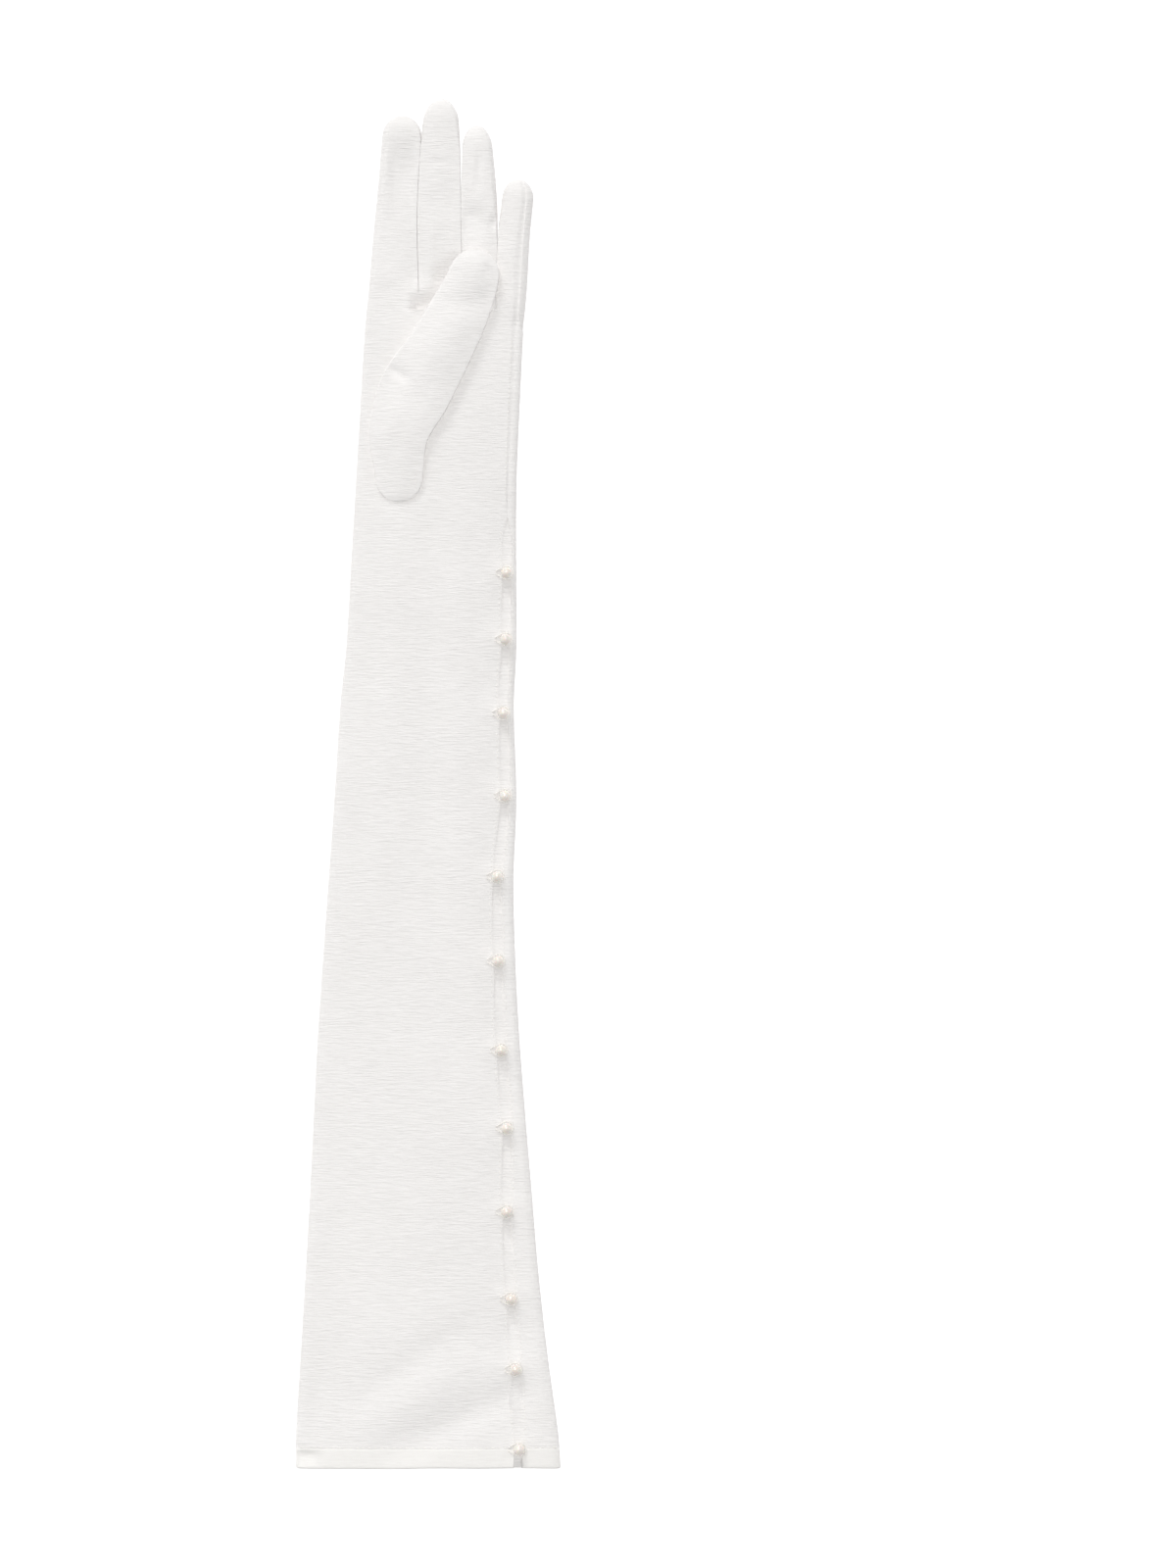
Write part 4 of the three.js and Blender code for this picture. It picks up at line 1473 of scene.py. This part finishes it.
    def stations(self) -> list[tuple[float, float]]:
        """Places along the thumb with the taper at each.

        Returns:
            Pairs of share and taper, from the base to the tip.
        """
        first = self.end_length / self.reach
        turns = np.radians(np.linspace(*self.end_turns, self.end_rows))
        made = [(first - first * math.sin(turn), math.cos(turn)) for turn in turns]
        made += [(float(s), 1.0) for s in np.linspace(first, 1 - first, self.shaft_rows)]
        made += [(1 - first + first * math.sin(turn), math.cos(turn)) for turn in turns[::-1]]
        return made

    def column_part(self, i: int, x: float, y: float) -> Optional[str]:
        """Piece that a face belongs to, or None over the thumb hole.

        Args:
            i: Column of the face.
            x: Its place across the glove.
            y: Its distance from the cuff edge.

        Returns:
            The name of the thumb, or None.
        """
        below = i >= 2 * self.wall_steps + self.top_steps
        return None if below and self.hole.holds(x, y) else "thumb"

    def make(self, finishes: Finishes) -> bpy.types.Object:
        """Builds and dresses the thumb.

        Args:
            finishes: The materials.

        Returns:
            The thumb.
        """
        loft = Loft()
        rings = [self.ring(share, taper) for share, taper in self.stations()]
        rows = [loft.add(ring) for ring in rings]
        for j in range(len(rows) - 1):
            centre = face_centres(rings[j], rings[j + 1])
            loft.skin(rows[j], rows[j + 1], lambda i, c=centre: self.column_part(i, *c[i, :2]))
        first = loft.add(rings[0].mean(axis=0)[None])
        last = loft.add(rings[-1].mean(axis=0)[None])
        for i in range(len(rows[0])):
            j = (i + 1) % len(rows[0])
            loft.face((rows[0][j], rows[0][i], first[0]), "thumb")
            loft.face((rows[-1][i], rows[-1][j], last[0]), "thumb")
        piece = loft.build("thumb_cloth", self.placing, cloth=self.cloth)
        dress(piece, finishes.tulle, ["thumb"])
        return piece


@dataclass
class CuffHem:
    """The doubled hem round the cuff, parted by the slit."""

    trank: Trank
    thickness: float = 1.7
    pucker: float = 0.22
    sway: float = 0.35
    outer_rows: int = 10
    fold_rows: int = 6
    inner_rows: int = 5
    inner_gap: float = 0.3
    pucker_fade: float = 4.0
    sway_height: float = 0.8
    sway_out: float = 0.45
    # Height, turn to each millimetre, wander, and turn of the wander to each millimetre.
    pucker_waves: tuple[tuple[float, float, float, float], ...] = (
        (1.0, 0.83, 0.9, 0.21),
        (0.6, 1.9, 2.0, 0.13),
    )
    # Height, turn to each millimetre, and turn at the middle of the cuff.
    sway_waves: tuple[Triple, ...] = ((0.5, 0.055, 0.8), (0.3, 0.17, 1.0))

    def profile(self) -> list[tuple[float, float]]:
        """Distance from the cuff edge and inset of each row, from the outer top edge to the inner one."""
        height = self.trank.form.hem_height
        turn = self.thickness / 2
        outer = [(y, 0.0) for y in np.linspace(height, turn, self.outer_rows)]
        fold = []
        for angle in np.radians(np.linspace(0, 180, self.fold_rows + 2))[1:-1]:
            fold.append((turn - turn * math.sin(angle), turn - turn * math.cos(angle)))
        inner = [(y, self.thickness) for y in np.linspace(turn, height - self.inner_gap, self.inner_rows)]
        return outer + fold + inner

    def puckered(self, ring: Array, y: float, inset: float) -> Array:
        """Adds the small puckers of the hem and the sway of its edge.

        Args:
            ring: Points of a row.
            y: Its distance from the cuff edge.
            inset: Its distance inwards.

        Returns:
            The moved points.
        """
        x = ring[:, 0]
        height = self.trank.form.hem_height
        swell = math.sin(math.pi * min(max(y / height, 0.0), 1.0)) * (1 - inset / self.pucker_fade)
        wave = sum(size * np.sin(x * pace + wander * np.sin(x * drift))
                   for size, pace, wander, drift in self.pucker_waves)
        top = ring[:, 2] > self.trank.form.edge_radius
        ring[:, 2] += np.where(top, self.pucker * swell * wave * 0.5, 0.0)
        edge = 1 - smooth(y, 0.0, height * self.sway_height)
        sway = sum(size * np.sin(x * pace + start) for size, pace, start in self.sway_waves)
        ring[:, 1] += self.sway * edge * (sway + self.sway_out)
        return ring

    def make(self, finishes: Finishes) -> bpy.types.Object:
        """Builds and dresses the hem.

        Args:
            finishes: The materials.

        Returns:
            The hem.
        """
        trank = self.trank
        loft = Loft()
        rows = []
        for y, inset in self.profile():
            ring = trank.ring(max(y, 0.0), inset)
            ring[:, 1] = y
            rows.append(loft.add(self.puckered(ring, y, inset)))
        low = trank.wall_steps + trank.slit_left
        high = trank.wall_steps + trank.slit_right
        for j in range(len(rows)):
            following = (j + 1) % len(rows)
            loft.skin(rows[following], rows[j], lambda i: None if low <= i < high else "hem")
        loft.face([row[low] for row in rows], "hem")
        loft.face([row[high] for row in rows][::-1], "hem")
        piece = loft.build("cuff_hem_cloth", trank.placing)
        dress(piece, finishes.doubled, ["cuff_hem"])
        return piece


@dataclass
class PlacketFacing:
    """The strip of cloth under the slit, which carries the pearls."""

    form: GloveForm
    placing: Placing
    half_width: float = 3.8
    drop: float = 0.64
    cloth: float = 0.6
    overrun: float = 5.0
    columns: int = 20
    spacing: float = 0.9
    sag_depth: float = 0.7
    sag_place: float = 4.8
    sag_length: float = 11.0
    sag_return: float = 1.4
    sag_half: float = 2.8
    start: float = 0.3
    edge_gap: float = 0.1
    lowest: float = 1.2
    hollow: float = 0.15
    end_drop: float = 2.0
    end_length: float = 4.5

    def sag(self, y: float, across: Array) -> Array:
        """How far the facing hangs down on the cuff side of each pearl.

        Args:
            y: Distance from the cuff edge.
            across: Distances from the middle of the slit.

        Returns:
            The depth below the facing's own height.
        """
        away = y - self.form.pearl_rows() + self.sag_place
        nearest = float(away[np.abs(away).argmin()])
        length = self.sag_return if nearest > 0 else self.sag_length
        depth = self.sag_depth * math.exp(-((nearest / length) ** 2))
        return depth * np.exp(-((across / self.sag_half) ** 4))

    def make(self, finishes: Finishes) -> bpy.types.Object:
        """Builds and dresses the facing.

        Args:
            finishes: The materials.

        Returns:
            The facing.
        """
        form = self.form
        loft = Loft()
        end = form.slit_length + self.overrun
        across = np.linspace(-1, 1, self.columns + 1)
        rows = []
        for y in np.linspace(self.start, end, int(end / self.spacing)):
            x = form.slit_at(y) + across * self.half_width
            x = np.minimum(x, form.right(y) - self.drop - self.edge_gap)
            z = form.plain_top(x, y) - form.dip(x, y) - self.drop - self.sag(y, across * self.half_width)
            z = np.maximum(z, self.lowest) - self.hollow * np.cos(across * math.pi / 2)
            z -= self.end_drop * (1 - float(smooth(y, 0.0, self.end_length)))
            rows.append(loft.add(np.stack([x, np.full(len(x), y), z], axis=1)))
        for first, second in zip(rows, rows[1:]):
            loft.skin(first, second, lambda _: "facing", closed=False)
        piece = loft.build("placket_facing_cloth", self.placing, cloth=self.cloth)
        dress(piece, finishes.tulle, ["placket_facing"])
        return piece


@dataclass
class PearlRow:
    """The twelve pearls, each with its shank, and the twisted loop of thread that holds each."""

    form: GloveForm
    placing: Placing
    diameter: float = 5.0
    shank: float = 1.6
    clearance: float = 0.3
    thread: float = 0.8
    tail: float = 1.9
    sides: int = 40
    rounds: int = 22
    shank_depth: float = 0.9
    shank_waist: float = 0.86
    waist_gap: float = 0.05
    crown_hole: float = 0.06
    bend_turn: float = 125.0
    bend_points: int = 19
    tail_dip: float = 0.45
    path_spacing: float = 0.35
    ply_radius: float = 0.52
    ply_offset: float = 0.46
    ply_pitch: float = 2.4

    def rise(self) -> float:
        """Height of a pearl's middle above the cloth beside it."""
        return self.clearance + math.sqrt((self.diameter / 2) ** 2 - (self.form.slit_width / 2) ** 2)

    def seats(self) -> list[tuple[str, float, float, float]]:
        """Number, place and height of the cloth of each pearl."""
        made = []
        for index, y in enumerate(self.form.pearl_rows()):
            x = float(self.form.slit_at(y))
            made.append((f"{index + 1:02d}", x, float(y), float(self.form.plain_top(x, y))))
        return made

    def pearl(self, x: float, y: float, z: float) -> Loft:
        """Lofts one pearl with its shank.

        Args:
            x: Place across the glove.
            y: Place along the glove.
            z: Height of its middle.

        Returns:
            The pearl.
        """
        radius = self.diameter / 2
        start = math.asin(self.shank / 2 / radius)
        profile = [(self.shank / 2, -self.rise() - self.shank_depth),
                   (self.shank / 2 * self.shank_waist, -radius - self.waist_gap)]
        for turn in np.linspace(start, math.pi - self.crown_hole, self.rounds):
            profile.append((radius * math.sin(turn), -radius * math.cos(turn)))
        turns = np.linspace(0, 2 * math.pi, self.sides, endpoint=False)
        loft = Loft()
        circle = np.stack([np.cos(turns), np.sin(turns), np.zeros(self.sides)], axis=1)
        loft.tube([np.array([x, y, z + height]) + reach * circle for reach, height in profile])
        return loft

    def loop(self, x: float, y: float) -> Loft:
        """Lofts the two twisted plies of one loop round the foot of a pearl.

        Args:
            x: Place of the pearl across the glove.
            y: Place of the pearl along the glove.

        Returns:
            The loop.
        """
        radius = self.thread / 2
        lift = self.clearance + radius
        reach = self.diameter / 2 + self.clearance + radius
        around = math.sqrt(reach**2 - (self.rise() - lift) ** 2)
        turns = np.radians(np.linspace(-self.bend_turn, self.bend_turn, self.bend_points))
        side = radius + self.clearance / 2
        dx = np.concatenate([[-around - self.tail], around * np.cos(turns), [-around - self.tail]])
        dy = np.concatenate([[-side], around * np.sin(turns), [side]])
        seat = float(self.form.plain_top(x, y))
        z = np.maximum(seat, self.form.plain_top(x + dx, y + dy)) + lift
        z[[0, -1]] -= self.tail_dip
        path = resample(np.stack([x + dx, y + dy, z], axis=1), self.path_spacing)
        loft = Loft()
        for ply in (0.0, math.pi):
            loft.tube(twisted(path, radius * self.ply_radius, radius * self.ply_offset, ply, self.ply_pitch))
        return loft

    def make(self, finishes: Finishes) -> list[bpy.types.Object]:
        """Builds and dresses the pearls and the loops.

        Args:
            finishes: The materials.

        Returns:
            The pearls and the loops.
        """
        made = []
        for number, x, y, seat in self.seats():
            pearl = self.pearl(x, y, seat + self.rise()).build(f"pearl_{number}_bead", self.placing)
            dress(pearl, finishes.pearl, [f"pearl_{number}"])
            loop = self.loop(x, y).build(f"loop_{number}_thread", self.placing)
            dress(loop, finishes.thread, [f"loop_{number}"])
            made += [pearl, loop]
        return made


def arc_lengths(path: Array) -> Array:
    """Length of a path from its start to each of its points."""
    return np.concatenate([[0], np.cumsum(np.linalg.norm(np.diff(path, axis=0), axis=1))])


def along_path(path: Array, places: Array) -> Array:
    """Points of a path at some lengths from its start."""
    lengths = arc_lengths(path)
    return np.stack([np.interp(places, lengths, path[:, axis]) for axis in range(3)], axis=1)


def resample(path: Array, spacing: float) -> Array:
    """Points at even spacing along a path.

    Args:
        path: Rows of x, y, z.
        spacing: Distance between the points.

    Returns:
        The new points, with the path's own ends.
    """
    length = arc_lengths(path)[-1]
    return along_path(path, np.linspace(0, length, max(3, int(length / spacing) + 1)))


def frames(path: Array) -> tuple[Array, Array]:
    """Two directions square to a path at each of its points.

    Args:
        path: Rows of x, y, z.

    Returns:
        The sideways and the upward directions.
    """
    tangent = unit(np.gradient(path, axis=0))
    side = unit(np.cross(tangent, [0.0, 0.0, 1.0]))
    return side, np.cross(side, tangent)


def rings_round(middle: Array, side: Array, up: Array, radius: float, sides: int) -> list[Array]:
    """Rings of a round thread.

    Args:
        middle: Points of its middle.
        side: Direction sideways at each point.
        up: Direction upwards at each point.
        radius: Radius of the thread.
        sides: Number of points of a ring.

    Returns:
        One ring a point.
    """
    angles = np.linspace(0, 2 * math.pi, sides, endpoint=False)[:, None]
    return [point + radius * (np.cos(angles) * aside - np.sin(angles) * above)
            for point, aside, above in zip(middle, side, up)]


def twisted(path: Array, radius: float, away: float, start: float, pitch: float) -> list[Array]:
    """Rings of one ply that winds round a path.

    Args:
        path: Rows of x, y, z, the middle of the thread.
        radius: Radius of the ply.
        away: Distance of the ply's middle from the path.
        start: Its turn at the start of the path.
        pitch: Length of the path to each full turn.

    Returns:
        The ply's rings.
    """
    side, up = frames(path)
    turn = (start + arc_lengths(path) / pitch * 2 * math.pi)[:, None]
    middle = path + away * (np.cos(turn) * side + np.sin(turn) * up)
    return rings_round(middle, side, up, radius, 6)


@dataclass
class Stitching:
    """Rows of stitches laid on the seams."""

    form: GloveForm
    placing: Placing
    thread: float = 0.16
    sink: float = 0.1
    bulge: float = 0.6
    hem_gap: float = 0.35
    side_margin: float = 1.2
    slit_margin: float = 3.0
    slit_stop: float = 4.0
    seam_start: float = 6.0
    seam_end: float = 494.0
    left_of_slit: float = 0.9
    right_of_slit: float = 0.7
    hem_stitch: tuple[float, float] = (1.9, 0.8)
    slit_stitch: tuple[float, float] = (1.5, 0.9)
    seam_stitch: tuple[float, float] = (1.3, 0.9)

    def stitches(self, path: Array, length: float, gap: float) -> Loft:
        """Lofts a row of stitches along a path that lies on the cloth.

        Args:
            path: Rows of x, y, z.
            length: Length of a stitch.
            gap: Cloth between two stitches.

        Returns:
            The stitches.
        """
        end = -self.thread - self.sink
        bow = np.array([end, 0.0, self.thread * self.bulge, 0.0, end])
        loft = Loft()
        place = gap
        while place + length < arc_lengths(path)[-1]:
            line = along_path(path, np.linspace(place, place + length, len(bow)))
            line[:, 2] += bow
            loft.tube(rings_round(line, *frames(line), self.thread, 5))
            place += length + gap
        return loft

    def on_cloth(self, x: Array, y: Array) -> Array:
        """Path that lies on the upper cloth."""
        return np.stack([x, y, self.form.top(x, y)], axis=1)

    def make(self, finishes: Finishes) -> list[bpy.types.Object]:
        """Builds and dresses the rows of stitches.

        Args:
            finishes: The materials.

        Returns:
            The rows of stitches.
        """
        form = self.form
        height = form.hem_height + self.hem_gap
        slit = float(form.slit_at(height))
        left = np.linspace(float(form.left(height)) + self.side_margin, slit - self.slit_margin, 90)
        right = np.linspace(slit + self.slit_margin, float(form.right(height)) - self.side_margin, 20)
        rows = np.linspace(form.hem_height, form.slit_length - self.slit_stop, 300)
        seam = np.linspace(form.slit_length + self.seam_start, self.seam_end, 60)
        slit_left = form.slit_at(rows) - form.slit_half(rows) - self.left_of_slit
        slit_right = form.slit_at(rows) + form.slit_half(rows) + self.right_of_slit
        lines = {
            "hem_stitches_palm_side": (left, np.full(len(left), height), self.hem_stitch),
            "hem_stitches_placket_side": (right, np.full(len(right), height), self.hem_stitch),
            "slit_stitches_left": (slit_left, rows, self.slit_stitch),
            "slit_stitches_right": (slit_right, rows, self.slit_stitch),
            "side_seam_stitches": (form.slit_at(seam) - self.left_of_slit, seam, self.seam_stitch),
        }
        made = []
        for name, (x, y, (length, gap)) in lines.items():
            piece = self.stitches(self.on_cloth(x, y), length, gap).build(name, self.placing)
            dress(piece, finishes.thread)
            made.append(piece)
        return made


@dataclass
class Studio:
    """Plain white floor, soft light from beyond the fingertips and from the sides, camera straight above."""

    view_width: float = 0.5140
    view_aspect: float = 1600 / 1199
    view_middle: tuple[float, float] = (0.06975, -0.00022)
    camera_height: float = 3.0
    glove_height: float = 0.008
    camera_range: tuple[float, float] = (0.1, 20.0)
    sensor: float = 36.0
    key_strength: float = 0.82
    key_height: float = 31.0
    key_side: float = -16.0
    key_width: float = 20.0
    fill_strength: float = 1.4
    fill_height: float = 68.0
    fill_width: float = 40.0
    side_strength: float = 0.3
    side_height: float = 30.0
    side_turn: float = 88.0
    sky_strength: float = 0.41
    floor_glow: float = 0.9
    floor_tones: tuple[float, float] = (0.22, 0.23)
    floor_reach: float = 12.0
    floor_height: float = -0.0003

    def camera(self) -> bpy.types.Object:
        """Makes the camera straight above the glove.

        Returns:
            The camera.
        """
        data = bpy.data.cameras.new("camera")
        data.sensor_fit = "AUTO"
        data.sensor_width = self.sensor
        data.lens = self.sensor * self.camera_height / (self.view_width * self.view_aspect)
        data.clip_start, data.clip_end = self.camera_range
        made = bpy.data.objects.new("camera", data)
        made.location = (*self.view_middle, self.camera_height + self.glove_height)
        bpy.context.scene.collection.objects.link(made)
        bpy.context.scene.camera = made
        return made

    def lamp(self, name: str, strength: float, height: float, side: float, width: float,
             shadows: bool) -> None:
        """Adds one far, wide lamp.

        Args:
            name: Name of the lamp.
            strength: Its strength.
            height: Its height over the horizon, in degrees.
            side: Its turn from straight beyond the fingertips towards the little finger, in degrees.
            width: How wide it looks from the glove, in degrees.
            shadows: Whether it casts shadows.
        """
        data = bpy.data.lights.new(name, "SUN")
        data.energy = strength
        data.angle = math.radians(width)
        data.use_shadow = shadows
        made = bpy.data.objects.new(name, data)
        made.rotation_euler = (-math.radians(90 - height), 0.0, math.radians(-side))
        bpy.context.scene.collection.objects.link(made)

    def light(self) -> None:
        """Makes the lamps and the even light of the room."""
        self.lamp("key_light", self.key_strength, self.key_height, self.key_side, self.key_width, True)
        self.lamp("fill_light", self.fill_strength, self.fill_height, self.key_side, self.fill_width, False)
        for name, turn in (("index_side_light", -self.side_turn), ("little_side_light", self.side_turn)):
            self.lamp(name, self.side_strength, self.side_height, turn, self.fill_width, False)
        world = bpy.data.worlds.new("studio")
        world.use_nodes = True
        backdrop = world.node_tree.nodes["Background"]
        backdrop.inputs["Color"].default_value = (1.0, 1.0, 1.0, 1.0)
        backdrop.inputs["Strength"].default_value = self.sky_strength
        bpy.context.scene.world = world
        bpy.context.scene.view_settings.view_transform = "Standard"

    def floor(self) -> bpy.types.Object:
        """Makes the white floor.

        Returns:
            The floor.
        """
        board = NodeBoard("white_floor")
        glow = board.node("ShaderNodeEmission", {"Color": (1.0, 1.0, 1.0, 1.0), "Strength": self.floor_glow})
        stops = [(place, (tone, tone, tone)) for place, tone in zip((0.3, 0.7), self.floor_tones)]
        tone = board.ramp(board.noise((3.0, 3.0, 3.0)), stops)
        paint = board.node("ShaderNodeBsdfDiffuse", {"Color": tone})
        both = board.node("ShaderNodeAddShader", {0: glow.outputs[0], 1: paint.outputs[0]})
        material = board.finish(both.outputs[0])
        mesh = bpy.data.meshes.new("floor")
        reach, height = self.floor_reach, self.floor_height
        corners = [(reach * x, reach * y, height) for x, y in ((-1, -1), (1, -1), (1, 1), (-1, 1))]
        mesh.from_pydata(corners, [], [(0, 1, 2, 3)])
        mesh.materials.append(material)
        made = bpy.data.objects.new("floor", mesh)
        bpy.context.scene.collection.objects.link(made)
        return made


def main() -> None:
    """Builds the glove and its studio, piece by piece."""
    logging.basicConfig(level=logging.INFO, format="%(message)s")
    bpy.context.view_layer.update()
    studio = Studio()
    studio.camera()
    studio.light()
    studio.floor()
    form = GloveForm()
    placing = Placing.of_cuff(form)
    finishes = Finishes.make()
    trank = Trank(form, placing)
    for maker in (trank, Thumb(form, placing), CuffHem(trank), PlacketFacing(form, placing),
                  PearlRow(form, placing), Stitching(form, placing)):
        maker.make(finishes)
        log.info("%s done", type(maker).__name__)


if __name__ == "__main__":
    main()
